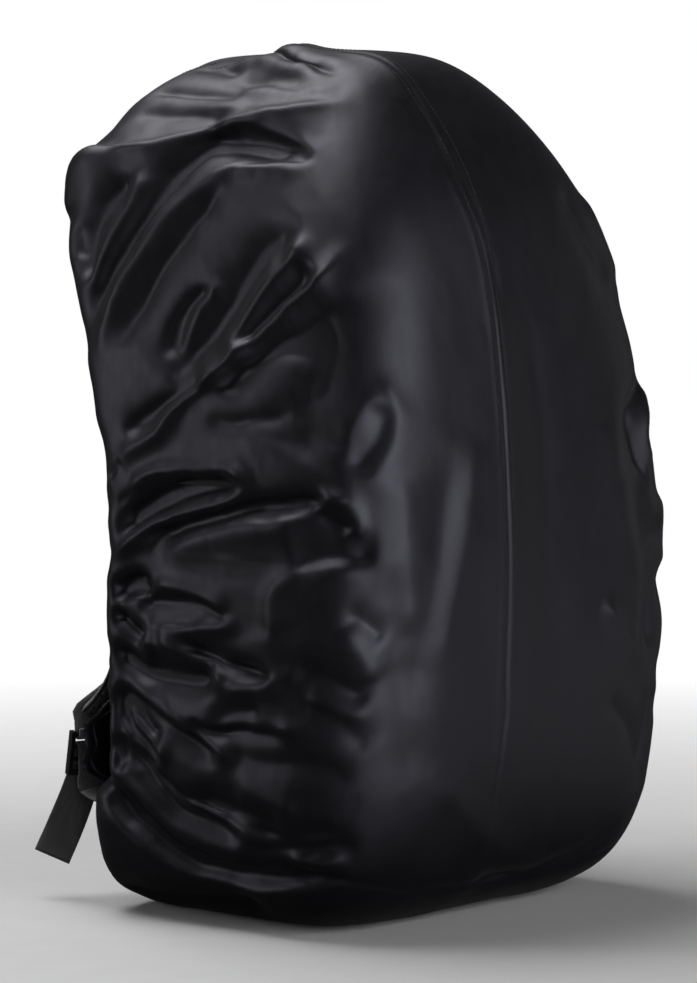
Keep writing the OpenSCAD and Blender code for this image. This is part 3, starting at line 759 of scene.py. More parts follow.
# folds sculpted before the cloth is relaxed
FOLDS = crease_table("""
5 7 9: -106 176 473, -101 159 474, -104 108 477, -101 69 482, -98 48 486, -94 26 491,
  -92 -3 495, -84 -25 501, -73 -41 505;
4 4 5: -98 56 486, -96 32 489, -100 4 483, -103 -19 478, -106 -38 470;
-10 7 8: -108 -38 467, -106 -22 473, -105 -1 476, -103 21 479, -103 46 480, -105 60 476,
  -109 71 468, -114 79 459, -121 90 444, -125 95 435, -130 103 422, -135 111 406,
  -138 114 395, -142 116 381, -144 117 363;
5 6 6: -112 -35 460, -112 -3 462, -113 25 461, -119 49 451, -127 71 431, -134 86 411,
  -140 98 389, -146 105 364, -149 107 346;
-9 7 7: -112 116 464, -118 122 452, -122 131 442, -127 134 428, -133 133 411, -137 130 392;
6 4 6: -111 111 465, -115 106 458, -123 107 440, -130 115 420, -136 123 403, -138 130 389;
5 5 5: -105 176 472, -108 174 453, -114 170 436;
-5 4 4: -124 151 429, -128 146 420, -131 142 409;
-4.5 9 7: -117 30 452, -125 42 435, -132 56 416, -138 70 399, -142 76 384, -145 84 368,
  -148 91 352;
-5 4 5: -140 20 392, -142 35 382, -146 42 367, -150 47 347;
3.5 6 5: -138 12 395, -142 24 382, -146 32 365, -149 39 348;
-6.5 12 11: -125 -38 434, -129 -27 423, -135 -12 409, -139 -3 393, -144 6 376, -146 14 365,
  -149 30 351, -152 46 334;
5 6 7: -127 -49 424, -135 -38 405, -139 -26 391, -144 -15 375, -147 -7 361, -149 3 350;
-6.5 8 9: -132 -54 408, -139 -43 391, -143 -29 378, -147 -17 364, -149 -6 353;
5.5 6 5: -119 -78 419, -128 -70 406, -135 -62 393, -140 -49 383, -144 -36 371, -148 -19 356,
  -150 -5 344, -153 16 333, -154 33 319, -156 47 303, -158 69 292, -158 88 278;
-5 7 9: -139 -76 362, -145 -56 360, -148 -39 355, -150 -25 347, -151 -9 337, -154 -1 326;
-4.5 7 7: -151 10 338, -154 28 326, -155 51 317, -156 60 309, -157 75 298;
-6 22 22: -136 -62 390, -140 -74 363, -146 -76 338, -151 -65 324, -153 -69 301, -156 -65 284;
2.2 7 8: -128 -102 338, -123 -109 329, -121 -112 316, -124 -112 302, -134 -109 285,
  -143 -104 271;
-2.8 8 8: -125 -108 323, -132 -107 304, -139 -103 294, -145 -98 283;
1.8 7 7: -126 -106 330, -136 -100 320, -144 -95 304, -147 -95 285;
-3.5 4 4: -155 9 312, -156 -5 309, -155 -30 313, -152 -57 318;
6 4 4: -161 71 260, -160 54 276, -159 28 280, -159 2 280, -159 -18 280, -160 -28 274,
  -160 -24 267;
-10 6 7: -159 -22 275, -160 2 272, -160 20 269, -160 41 262, -161 58 254, -162 71 245,
  -161 80 240;
7 4 4: -160 -30 272, -160 -22 264, -161 1 258, -161 26 254, -161 45 246, -162 65 236,
  -162 81 225;
-8 4 7: -152 -87 265, -157 -68 264, -160 -49 262, -161 -25 258, -161 0 252, -162 26 246,
  -162 42 240, -162 54 228;
4 7 8: -156 -79 255, -160 -47 251, -161 -15 247, -162 17 238, -162 42 227;
5 4 5: -155 -80 265, -149 -94 265, -146 -101 256, -143 -106 242;
-3.6 5 6: -155 -83 259, -152 -90 252, -149 -99 247;
-4.2 16 6: -138 -112 231, -150 -97 233, -158 -80 232, -160 -64 227;
2.4 4 14: -139 -111 224, -152 -95 226, -159 -70 224, -162 -52 212, -163 -50 188, -161 -64 169;
-7 4 4: -163 47 208, -163 63 207, -162 81 202;
-6 3.5 4: -163 55 213, -163 69 209, -162 81 203;
4 4 4: -163 45 211, -163 29 207, -163 4 203, -163 -17 197;
-4.5 3.5 4: -164 60 196, -163 38 199, -163 11 200, -163 -1 196, -163 -17 192;
4 4 3: -163 -24 194, -163 -15 187, -164 8 184, -164 32 183, -163 58 186;
-3 4 4: -164 53 186, -164 28 187, -164 4 189;
-7 4 4: -162 82 191, -164 67 181, -164 56 175;
-9 5 6: -162 83 170, -164 69 161, -163 51 155, -164 29 152, -163 11 152, -163 -5 156;
4 4 5: -164 58 175, -164 41 171, -164 20 165, -164 2 162;
-5 5 6: -164 53 167, -164 32 162, -163 11 160, -164 -3 158;
5 3.5 3.5: -163 42 180, -163 25 171, -163 6 164, -164 -9 157, -163 -2 150;
-8 4 5: -164 24 174, -164 6 169, -163 -15 164, -164 -33 161, -163 -50 160;
4 6 6: -163 -13 149, -163 -37 153, -162 -60 159, -160 -74 167;
-3.72 7 8: -163 -49 154, -160 -72 161, -157 -85 161, -151 -99 155, -140 -110 146;
-3 7 8: -151 -99 201, -143 -109 193, -135 -116 184;
2.4 10 8: -153 -96 191, -147 -105 176, -141 -110 158;
-2.79 8 8: -161 -65 145, -156 -86 140, -148 -101 128, -142 -107 116;
2.27 6 6: -160 -74 149, -154 -93 143, -142 -108 136;
-5.5 4 5: -163 18 131, -163 4 125, -163 -17 124, -163 -47 126, -161 -64 125;
3.5 3.5 4: -163 21 134, -164 -1 129, -163 -27 128, -161 -65 130, -159 -79 135;
-3.5 7 6: -163 -1 130, -164 -19 135, -163 -43 139;
-8 4 5: -163 82 146, -163 72 142, -164 51 134, -163 30 124, -164 11 114, -163 -8 104;
5 3.5 4: -163 76 148, -163 60 143, -164 40 133, -164 17 124, -163 -4 115, -163 -22 106;
-8 4 5: -163 82 142, -164 76 137, -164 64 130, -163 51 120, -164 40 114;
-7 4 4: -164 79 134, -164 67 121, -164 53 109, -164 41 99;
4.5 4 4: -164 77 139, -164 65 126, -164 52 115, -163 33 102;
-7 4 4: -164 78 119, -163 74 113, -164 62 100, -163 44 84, -162 26 72, -162 8 67,
  -161 -15 61, -160 -28 58;
5.5 3.5 3.5: -163 76 123, -164 67 114, -164 53 101, -163 39 87, -163 20 78, -162 0 72,
  -161 -30 64, -158 -47 54;
-6 4 4: -163 71 118, -164 60 106, -163 44 92, -163 25 81, -163 4 78, -162 -16 70,
  -161 -37 65, -158 -62 63;
-4.5 7 6: -163 15 80, -162 -16 77, -162 -36 75, -160 -56 69;
-6 4 4: -163 83 111, -163 79 102, -163 73 92;
-11 6 7: -163 84 94, -162 83 80, -162 72 66, -161 54 56, -158 38 46, -156 18 39, -155 -7 38,
  -155 -45 39, -146 -77 40, -136 -90 42;
5 3.5 5: -162 90 84, -162 86 68, -160 69 54, -157 47 42, -154 26 34, -152 -1 31, -150 -25 29,
  -150 -52 31, -141 -82 37, -128 -88 33;
-5.25 8 7: -160 -21 52, -158 -48 54, -155 -71 58, -147 -87 59, -137 -99 61;
4 5 4: -157 -55 49, -150 -77 49, -140 -92 52;
-3.5 3 4: -158 -67 66, -150 -88 69;
3 3 3: -157 -68 62, -149 -89 65;
-2.6 7 7: -163 -13 114, -163 -38 108, -161 -63 108, -154 -89 106, -147 -100 95;
2.6 12 10: -163 -21 90, -162 -42 86, -159 -69 81;
-6 10 10: -137 104 15, -133 72 11, -138 23 15, -143 -31 20;
-4.5 3.5 3.5: -35 97 536, -29 79 537, -50 40 530, -59 8 525, -64 -19 519;
-3.5 3 3.5: -13 79 542, -35 27 536;
4 4 4: -47 91 531, -45 65 532, -59 28 525, -69 -13 517;
-3 4 4: -42 122 532, -51 95 529, -59 71 525;
-2.5 5 4: -66 143 516, -75 94 513, -80 58 508;
-3 4 5: -84 138 501, -88 96 500, -90 63 497;
-3 4 4: -88 63 499, -97 58 488;
-6 5 4: -92 168 479, -99 149 480, -103 132 477;
3 8 8: -75 56 513, -79 10 509, -74 -26 510;
-1.4 3 9: -30 -37 525, -43 -60 502, -43 -78 477, -37 -95 449, -31 -108 411, -29 -116 365;
-2.2 18 16: -82 -122 300, -91 -125 253, -101 -126 212, -113 -123 171, -117 -120 136;
2.2 14 14: -65 -122 306, -73 -126 252, -87 -127 205, -99 -124 158;
1.8 14 12: -121 -116 284, -121 -121 231, -117 -122 183;
-1.8 14 14: -132 -116 231, -129 -118 184, -122 -119 136, -114 -117 93;
2 16 12: -101 -121 110, -79 -118 84, -16 -107 45, 67 -88 19;
-2 20 20: -6 -113 383, 2 -123 310, 2 -128 224, -1 -126 138;
-2.4 9 9: 61 -91 452, 81 -100 420, 100 -103 392;
3 7 7: 101 -80 452, 112 -90 421, 118 -94 395;
-4 5 6: 129 -104 336, 99 -119 313, 103 -121 288, 117 -120 264;
4 5 5: 132 -107 328, 115 -117 300, 123 -117 275;
-3.5 5 6: 116 -122 230, 117 -123 191, 116 -122 159;
3.5 5 5: 137 -111 260, 126 -119 236, 139 -113 209;
-4 5 5: 131 -116 132, 122 -116 107, 118 -114 82;
3 6 6: 56 -128 196, 89 -126 168, 121 -119 127;
-3 8 7: 71 -125 132, 104 -120 103, 127 -107 67;
-3 7 7: -32 -96 27, 18 -95 26, 72 -100 34, 107 -106 50""")

# crisp creases laid over the relaxed cloth
PLEATS = crease_table("""
-2.2 2.8 3.2: -162 76 242, -161 69 250, -161 52 260, -160 34 268, -160 14 274, -160 -10 277,
  -159 -22 276;
-1.6 2.2 2.5: -161 35 256, -161 12 260, -160 -4 265;
0.7 2.2 2.9: -161 35 254, -161 12 258, -160 -4 263;
-2.4 2.6 3: -163 56 227, -162 49 237, -161 33 244, -161 12 250, -161 -11 255, -160 -31 261,
  -159 -54 263, -155 -78 265, -149 -94 265;
1.1 2.6 3.4: -163 55 225, -162 49 235, -162 32 242, -161 12 248, -161 -11 253, -160 -31 259,
  -159 -54 261, -156 -79 263, -150 -95 263;
-1.6 2.4 2.8: -149 -94 265, -146 -101 257, -145 -104 246;
0.5 2.4 3.1: -148 -96 265, -144 -103 257, -143 -105 246;
-2.2 2.2 2.5: -162 82 204, -163 71 210, -163 59 212, -163 50 212;
1 2.2 2.9: -162 82 202, -163 71 208, -163 58 210, -163 50 210;
-2 2.2 2.5: -162 83 200, -163 63 202, -164 50 206;
0.9 2.2 2.9: -162 82 198, -164 62 200, -164 49 203;
-1.8 2.6 3: -163 61 196, -163 41 200, -163 23 202, -163 6 200, -163 -6 195, -163 -17 191;
0.8 2.6 3.4: -163 61 194, -163 41 198, -163 23 200, -163 6 197, -164 -7 193, -164 -18 189;
-2.4 2.3 2.6: -163 81 189, -164 70 183, -163 57 175;
1.1 2.3 3: -162 80 187, -163 69 181, -163 56 173;
-2.8 2.6 3: -162 82 170, -164 74 163, -164 61 158, -164 45 154, -163 29 153, -164 10 153,
  -164 -5 156;
1.3 2.6 3.4: -163 81 168, -163 74 161, -164 60 156, -164 45 152, -163 28 150, -164 10 151,
  -164 -5 153;
-1.6 2.3 2.6: -163 50 168, -164 33 168, -163 16 164, -164 2 160, -164 -5 157;
0.7 2.3 3: -163 50 166, -164 32 165, -163 16 162, -164 1 158, -164 -5 155;
-2.4 2.4 2.8: -164 22 173, -164 6 170, -163 -13 165, -164 -29 162, -163 -45 161, -162 -56 162;
1.1 2.4 3.1: -164 22 171, -164 5 168, -163 -13 163, -164 -30 159, -163 -45 159, -162 -57 160;
-1.6 2.4 2.8: -156 -79 260, -155 -84 253, -152 -92 249, -146 -102 249;
0.7 2.4 3.1: -156 -79 258, -155 -84 251, -152 -93 247, -146 -102 247;
-1.8 2.2 2.5: -158 90 272, -159 78 285;
0.8 2.2 2.9: -158 90 270, -159 78 282;
-1.6 2.4 2.8: -161 81 256, -160 65 266, -159 54 276;
0.7 2.4 3.1: -161 80 253, -160 65 263, -160 53 274;
-2.6 2.4 2.8: -163 76 142, -163 61 130, -164 52 121, -163 44 115;
1.2 2.4 3.1: -163 76 139, -163 61 128, -164 51 119, -163 44 112;
-2.6 2.2 2.5: -164 77 140, -164 70 126, -163 62 108, -164 48 94, -163 28 79, -162 3 69,
  -161 -20 63;
1.2 2.2 2.9: -164 77 138, -164 69 124, -163 61 106, -164 47 92, -163 28 77, -162 4 67,
  -161 -21 61;
-2.8 2.6 3: -163 79 90, -163 68 73, -161 50 58, -158 30 48, -157 9 42, -155 -15 37;
1.3 2.6 3.4: -163 79 88, -162 69 70, -160 51 55, -158 30 45, -156 9 39, -154 -14 34;
-2.2 2.2 2.5: -163 80 138, -163 76 124, -164 73 108, -163 70 92;
1 2.2 2.9: -163 79 136, -163 76 122, -164 73 106, -163 70 90;
-1.8 2.2 2.5: -164 50 97, -163 36 86, -163 15 78, -163 -8 76, -162 -24 74;
0.8 2.2 2.9: -163 50 95, -163 36 84, -163 14 76, -162 -8 73, -162 -24 71;
-1.8 2.4 2.8: -164 14 129, -163 2 124, -164 -20 124, -163 -37 127;
0.8 2.4 3.1: -164 13 127, -163 2 122, -164 -20 122, -163 -38 125;
-1.6 2.4 2.8: -164 41 144, -164 19 125, -163 0 112, -164 -14 106;
0.7 2.4 3.1: -164 41 142, -164 18 122, -163 -1 110, -164 -15 103;
-2.4 3 3.4: -143 119 369, -140 116 389, -135 105 408, -128 96 426, -121 85 445, -114 74 460,
  -105 62 475, -101 49 482, -100 25 484, -104 -21 475, -107 -36 468;
0.7 3 3.9: -144 118 367, -140 115 387, -135 104 405, -130 94 424, -122 84 443, -115 72 458,
  -107 60 472, -103 47 480, -101 23 482, -106 -23 473, -108 -38 466;
-1.8 2.6 3: -139 127 389, -132 130 413, -123 125 439, -112 119 463;
0.5 2.6 3.4: -139 126 387, -133 129 410, -125 123 437, -114 117 461;
-1.4 2.6 3: -114 24 460, -111 10 464, -110 -14 467, -108 -36 467;
0.8 2.6 3.4: -115 23 457, -113 9 462, -111 -15 465, -110 -38 464;
-1.8 2.6 3: -145 80 371, -141 75 386, -136 67 405, -131 57 420, -125 43 435, -116 29 455;
0.7 2.6 3.4: -146 79 368, -142 74 384, -137 66 402, -132 56 418, -126 42 433, -117 27 453;
-1.6 2.4 2.8: -150 50 345, -147 48 362, -144 41 377, -140 29 389, -139 22 394;
0.6 2.4 3.1: -150 49 343, -147 47 360, -144 40 375, -141 28 387, -140 21 392;
-2 2.6 3: -148 -11 357, -145 -25 369, -141 -38 382, -137 -48 394, -134 -57 400;
2.4 2.4 2.2: -156 44 307, -154 25 323, -152 6 338, -148 -12 354, -144 -30 370, -141 -45 381,
  -137 -58 390, -131 -68 400, -124 -76 410;
-1.8 2.6 3: -154 4 324, -151 -10 340, -150 -25 350, -147 -43 360, -144 -60 361, -140 -77 360;
-1.6 2.6 3: -157 79 297, -155 60 315, -154 40 325, -152 14 337;
0.5 2.6 3.4: -157 79 295, -155 59 312, -154 40 323, -152 14 335;
-1.2 2.6 3: -28 128 536, -48 94 531, -57 69 526;
0.5 2.6 3.4: -43 114 532, -54 88 528, -61 64 524;
-1.4 2.6 3: -37 95 535, -29 82 537, -45 46 532, -58 13 525, -62 -18 521;
0.6 2.6 3.4: -45 88 532, -40 71 534, -51 40 529, -62 9 523, -65 -20 518;
-1 2.4 2.8: -69 136 515, -73 106 514, -78 70 510, -81 42 507;
0.5 2.4 3.1: -73 132 513, -76 102 512, -81 67 507, -83 40 505;
1.8 2.6 2.4: -99 159 475, -105 119 476, -102 90 481, -99 68 485, -97 51 488, -96 29 490,
  -93 6 493, -89 -15 498, -79 -37 502;
-1.6 2.6 3: -154 -28 35, -149 -61 35, -138 -86 39, -111 -94 32, -76 -93 24;
0.7 2.6 3.4: -153 -27 32, -149 -60 33, -136 -85 37, -109 -93 29, -73 -90 21;
-1.4 2.4 2.8: -100 -97 33, -59 -94 25, -19 -93 24, 18 -95 26;
0.6 2.4 3.1: -98 -96 30, -55 -92 22, -16 -91 21, 22 -92 23;
-1.2 2.4 2.8: -155 -66 51, -151 -86 63, -145 -97 80, -144 -102 95;
0.5 2.4 3.1: -154 -65 49, -150 -85 61, -145 -97 78, -144 -102 93;
4.5 9 9: -78 -60 520, -66 -20 531, -50 30 537, -30 80 530;
-3 6 6: -92 -40 505, -82 0 514, -68 50 519, -52 95 508;
3.5 7 7: -104 -30 488, -97 10 497, -86 60 500, -74 105 488;
-2.4 5 5: -112 -20 470, -108 20 478, -100 70 480, -90 115 466;
6.5 15 13: -74 6 528, -50 28 538, -30 46 540, -8 65 538""")


def beyond(table, x):
    """The creases whose paths lie on average on the -X side of x."""
    return [row for row in table if np.mean([point[0] for point in row[3]]) < x]


def add_folds(heights, points, folds, mirror=1.0, gain=1.0, tip=0.1):
    """Adds folds to the heights of flat, warped points. mirror is -1 for the +X side; tip is
    the share of the height that lasts nearly to the fold's ends."""
    for height, above, below, path in folds:
        path = np.array(path, float)
        path[:, 0] *= mirror
        path = spline(path, 4)
        margin = max(above, below) * 2.6 + 4
        inside = (points >= path.min(0) - margin) & (points <= path.max(0) + margin)
        picked = np.nonzero(inside.all(1))[0]
        if not len(picked):
            continue
        near = points[picked]
        best = np.full(len(picked), 1e9)
        place = np.zeros(len(picked))
        side = np.zeros(len(picked))
        run = run_length(path)
        for i in range(len(path) - 1):
            step = path[i + 1] - path[i]
            t = np.clip(((near - path[i]) @ step) / max(float(step @ step), 1e-9), 0, 1)
            away = near - (path[i] + t[:, None] * step)
            distance = np.sqrt((away * away).sum(1))
            closer = distance < best
            best[closer] = distance[closer]
            place[closer] = (run[i] + t[closer] * (run[i + 1] - run[i])) / run[-1]
            side[closer] = np.sign(away[closer, 2] + 0.25 * away[closer, 1] + 1e-9)
        width = np.where(side > 0, above, below) * 1.15
        round_off = 0.16
        reach = np.sqrt((best / width) ** 2 + round_off * round_off) - round_off
        profile = np.exp(-(reach ** 1.35) * 1.15)
        taper = (tip * smoothstep(0, 0.05, place) * smoothstep(1.0, 0.95, place)
                 + (1 - tip) * smoothstep(0, 0.16, place) * smoothstep(1.0, 0.82, place))
        heights[picked] += height * gain * profile * taper


# ---------------------------------------------------------------- rain cover: shape
CHANNEL_R = 3.1  # radius of the hem's cord channel
CHANNEL_TURN = np.radians([100, 122, 146, 172, 198, 226, 254, 284, 312])


def cover_pattern():
    """Smooth cover grid from front pole to hem, with column angles, each point's distance to
    the hem, each column's place along the hem and the hem's length."""
    cols = 880
    rows = 236
    # columns evenly spaced along both the widest outline and the hem, as a compromise
    fine = np.linspace(0, 2 * math.pi, 4001)
    waist_run = run_length(body_point(fine, math.pi / 2, 0.0))
    hem_run = run_length(body_point(fine, HEM_POLAR, 0.0))
    share = 0.5 * waist_run / waist_run[-1] + 0.5 * hem_run / hem_run[-1]
    angles = np.interp(np.arange(cols) / cols, share, fine)
    # rows evenly spaced from the front to the hem
    polars = np.linspace(0.01, HEM_POLAR, 3001)
    walk = np.mean([run_length(body_point(a, polars, 0.0)) for a in circle(16)], axis=0)
    polar = np.interp(np.linspace(6, walk[-1], rows), walk, polars)
    grid = body_point(angles[None, :], polar[:, None], 0.0, floor=-3.0)
    # ease the change of curvature where the upper arch meets the lower one
    eased = grid.copy()
    for _ in range(160):
        eased = 0.5 * eased + 0.25 * (np.roll(eased, 1, 1) + np.roll(eased, -1, 1))
    near = smoothstep(0.42, 0.08, np.abs(np.sin(angles)))[None, :, None]
    grid = grid * (1 - near) + eased * near
    steps = np.linalg.norm(np.diff(grid, axis=0), axis=2)
    to_hem = np.concatenate([np.cumsum(steps[::-1], axis=0)[::-1], np.zeros((1, cols))], 0)
    return grid, angles, to_hem, np.interp(angles, fine, hem_run), hem_run[-1]


def crease_coords(points):
    """Coordinates squeezed along the side creases: diagonal ones above, level ones below."""
    x, y, z = points.T
    diagonal = np.stack([x * 0.2, y * 0.80 - z * 0.60, (y * 0.60 + z * 0.80) * 0.30], -1)
    return diagonal, np.stack([x * 0.2, y * 0.35, z], -1)


def seam_offset(points):
    """Sideways distance from the seam, which bows a little near the top."""
    return points[:, 0] - SEAM_X + 9.0 * np.exp(-((points[:, 2] - 465) / 35.0) ** 2)


def seam_side(points, facing):
    """1 on the front and top faces that the seam runs over."""
    return (smoothstep(0.25, 0.6, np.maximum(-facing[:, 1], facing[:, 2]))
            * (points[:, 1] < 60))


def soft_shape(points, facing, warp):
    """Soft creases, the seam's roof line and the pulled-out corner."""
    x, y, z = points.T
    side = smoothstep(0.55, 0.95, np.abs(facing[:, 0]))
    front = smoothstep(0.5, 0.95, -facing[:, 1])
    upper = smoothstep(150, 300, z)
    diagonal, level = crease_coords(points)
    out = side * upper * (0.9 * ridged(noise(diagonal + 3 * warp, 44, 41))
                          + 0.14 * ridged(noise(diagonal + 2 * warp, 14, 42)))
    out += side * (1 - upper) * (0.8 * ridged(noise(level + 3 * warp, 38, 43))
                                 + 0.14 * ridged(noise(level + 2 * warp, 12, 44)))
    upright = np.stack([x + 0.12 * z, y, z * 0.22], -1)
    out += front * (1.2 * noise(upright + 4 * warp, 48, 45)
                    + 0.16 * noise(upright + 3 * warp, 20, 46))
    out += 0.9 * noise(points, 60, 47)
    # a roof line with a groove, fading out below the middle
    seam = seam_offset(points)
    out += (smoothstep(250, 400, z) * seam_side(points, facing)
            * (6.4 * np.exp(-np.abs(seam) / 38.0) - 3.6 * np.exp(-(seam / 52.0) ** 2)))
    # the corner at the top of the back, on the left
    corner = ((x + 104) / 24.0) ** 2 + ((y - 166) / 30.0) ** 2 + ((z - 468) / 17.0) ** 2
    return out + 11.0 * np.exp(-corner)


def hem_gathers(points, to_hem, hem_place, hem_len):
    """Gathers that radiate from the elastic hem, held back on the left side face."""
    x, _, z = points.T
    wobble = 5.0 * noise(points, 42, 50) + 2.0 * noise(points, 17, 51)

    def ring_noise(period, seed, sway):
        turn = (hem_place + wobble * sway) / hem_len * 2 * math.pi
        radius = hem_len / (2 * math.pi)
        ring = np.stack([radius * np.cos(turn), radius * np.sin(turn), np.zeros_like(turn)], -1)
        return noise(ring, period, seed)

    reach = 1.0 + 0.75 * ring_noise(31, 60, 0.0)
    held = 1.0 - 0.62 * (smoothstep(-60, -130, x) * smoothstep(20, 50, z)
                         * smoothstep(22, 50, to_hem))
    return (2.6 * ring_noise(7.5, 61, 0.25) * np.exp(-to_hem / (16 * reach))
            + 3.4 * (ridged(ring_noise(15, 62, 0.7)) - 0.25)
            * np.exp(-to_hem / (34 * reach)) * held
            + 4.0 * (ridged(ring_noise(34, 63, 1.2)) - 0.3)
            * np.exp(-to_hem / (85 * reach)) * held)


def slider_room(grid):
    """1 where the zip sliders travel under the cover, fading to 0 round it."""
    x, y, z = np.moveaxis(grid, -1, 0)
    return (smoothstep(-36, -56, y) * smoothstep(-114, -98, y) * smoothstep(84, 102, z)
            * smoothstep(212, 196, z) * (np.abs(x) > 100))


def drape(pattern, goal, normal, to_hem):
    """Relaxes the sculpted shape as cloth, coarse to fine."""
    rows, cols = pattern.shape[:2]
    x, _, z = np.moveaxis(pattern, -1, 0)
    side = smoothstep(0.45, 0.9, np.abs(normal[..., 0]))
    top = smoothstep(0.5, 0.9, normal[..., 2])
    front = smoothstep(0.4, 0.9, -normal[..., 1])
    left = smoothstep(-60, -130, x) * smoothstep(60, 120, z)
    # spare length round the rings and down the columns
    slack_round = (0.004 + 0.016 * side + 0.008 * top - 0.003 * front
                   + (0.26 - 0.12 * left) * np.exp(-to_hem / (24.0 - 8.0 * left)))
    slack_down = 0.002 + 0.010 * side + 0.004 * top + 0.02 * np.exp(-to_hem / 40.0)
    lowest = np.where(z < 25, -4.0, -7.0) + 3.0 * slider_room(pattern)
    # grid step, passes, hold and bending stiffness of each level
    levels = [(4, 60, 0.060, 0.22), (2, 40, 0.060, 0.16),
              (1, 30, 0.070, 0.22)]
    cloth = None
    for step, passes, hold, bend in levels:
        size = ((rows + step - 1) // step, cols // step)
        base = resample(pattern, *size)
        target = resample(goal, *size)
        if cloth is None:
            cloth = target.copy()
        else:
            cloth = resample(cloth - coarse, *size) + base
            relief = target - base
            # put back part of the relief that the coarser grid couldn't hold
            cloth = cloth + 0.35 * (relief
                                    - resample(resample(relief, *coarse.shape[:2]), *size))
        cloth = relax(cloth, base, target, resample(slack_down, *size),
                      resample(slack_round, *size), resample(lowest, *size), hold, passes, bend)
        coarse = base
    # the middle of the front lies taut and keeps the sculpted surface
    from_pole = np.linalg.norm((pattern - pattern[0].mean(0))[..., [0, 2]], axis=-1)
    keep = smoothstep(70, 25, from_pole)[..., None]
    return smooth_ring(cloth * (1 - keep) + goal * keep, 0.6, 9)


def calm(grid):
    """Smooths round the rings near the front pole and along the front's waist line, where
    columns crowd or bend."""
    cols = grid.shape[1]
    frequency = np.fft.rfftfreq(cols)[:, None]
    out = grid.copy()
    centre = grid[0].mean(0)
    for i, ring in enumerate(grid):
        radius = float(np.linalg.norm((ring - centre)[:, [0, 2]], axis=1).mean())
        if radius > 165:
            break
        sigma = 7.0 / (2 * math.pi * radius / cols)
        damping = np.exp(-2 * (math.pi * sigma * frequency) ** 2)
        smoothed = np.fft.irfft(np.fft.rfft(ring, axis=0) * damping, cols, axis=0)
        waist = smoothstep(22, 8, np.abs(ring[:, 2] - WAIST)) * smoothstep(165, 120, radius)
        weight = np.maximum(smoothstep(80, 45, radius), waist)[:, None]
        out[i] = ring * (1 - weight) + smoothed * weight
    return out


def crisp_detail(points, facing, warp, far_warp):
    """Crisp crease lines and the pinched seam, which the relaxing would wash out."""
    out = np.zeros(len(points))
    lines = [(0.16 * height, above * 0.38, below * 0.38, path)
             for height, above, below, path in FOLDS]
    add_folds(out, points + warp, lines, tip=0.0)
    add_folds(out, points + warp, PLEATS, tip=0.0)
    add_folds(out, points + far_warp, beyond(PLEATS, -80), mirror=-1.0, gain=0.9, tip=0.0)
    z = points[:, 2]
    diagonal, level = crease_coords(points)
    flow = np.where((z > 230)[:, None], diagonal, level)
    out += smoothstep(0.55, 0.95, np.abs(facing[:, 0])) * (
        0.26 * ridged(noise(flow + 2 * warp, 21, 48)) + 0.10 * ridged(noise(flow + warp, 8, 49)))
    seam = seam_offset(points)
    run = smoothstep(60, 120, z) * seam_side(points, facing)
    out -= run * 0.85 * np.exp(-(seam / 1.5) ** 2)
    out += run * 0.30 * np.exp(-((np.abs(seam) - 4.5) / 2.6) ** 2)
    return out


def open_hem(cloth, pattern, to_hem):
    """At the lower left the hem stands away from the pack behind a ruffled lip."""
    x, y, z = np.moveaxis(pattern, -1, 0)
    zone = smoothstep(74, 90, z) * smoothstep(146, 116, z) * (x < 0)
    lip = smoothstep(19, 6, to_hem)
    # the body of the cover sinks inwards behind the lip
    sink = (smoothstep(80, 100, y) * smoothstep(5, 22, to_hem) * 15.0
            + np.exp(-((to_hem - 24.0) / 9.0) ** 2) * 9.0)
    cloth = cloth.copy()
    cloth[..., 0] += zone * (sink - lip * 17.0)
    cloth[..., 1] += zone * smoothstep(90, 50, to_hem) * (2.0 + 4.0 * lip)
    return cloth


def cover_surface():
    """The cover's outer grid without the hem channel, its column angles and hem places."""
    pattern, angles, to_hem, hem_place, hem_len = cover_pattern()
    shape = to_hem.shape
    normal = normals(pattern, True)
    points, facing = pattern.reshape(-1, 3), normal.reshape(-1, 3)
    warp = (noise_vector(points, 26, 10) + 0.5 * noise_vector(points, 11, 14)) * 1.3
    far_warp = noise_vector(points, 70, 20) * 14 + noise_vector(points, 24, 30) * 3
    # sculpted folds on the left and, less regular, on the right
    relief = np.zeros(len(points))
    add_folds(relief, points + warp, FOLDS, gain=1.12)
    add_folds(relief, points + far_warp, beyond(FOLDS, -60), mirror=-1.0, gain=1.05)
    relief = 12.0 * np.tanh(relief / 12.0) + soft_shape(points, facing, warp)
    relief += hem_gathers(points, to_hem.reshape(-1),
                          np.broadcast_to(hem_place, shape).reshape(-1), hem_len)
    goal = pattern + relief.reshape(shape)[..., None] * normal
    cloth = calm(drape(pattern, goal, normal, to_hem))
    detail = crisp_detail(points, facing, warp, far_warp).reshape(shape)[..., None]
    cloth = smooth_ring(cloth + detail * normals(cloth, True), 0.4, 1)
    # never deeper than the pack's own face below
    offset = ((cloth - pattern) * normal).sum(-1)
    short = np.maximum(-6.7 + 2.9 * slider_room(pattern) - offset, 0)
    cloth = cloth + short[..., None] * normal
    return open_hem(cloth, pattern, to_hem), angles, hem_place


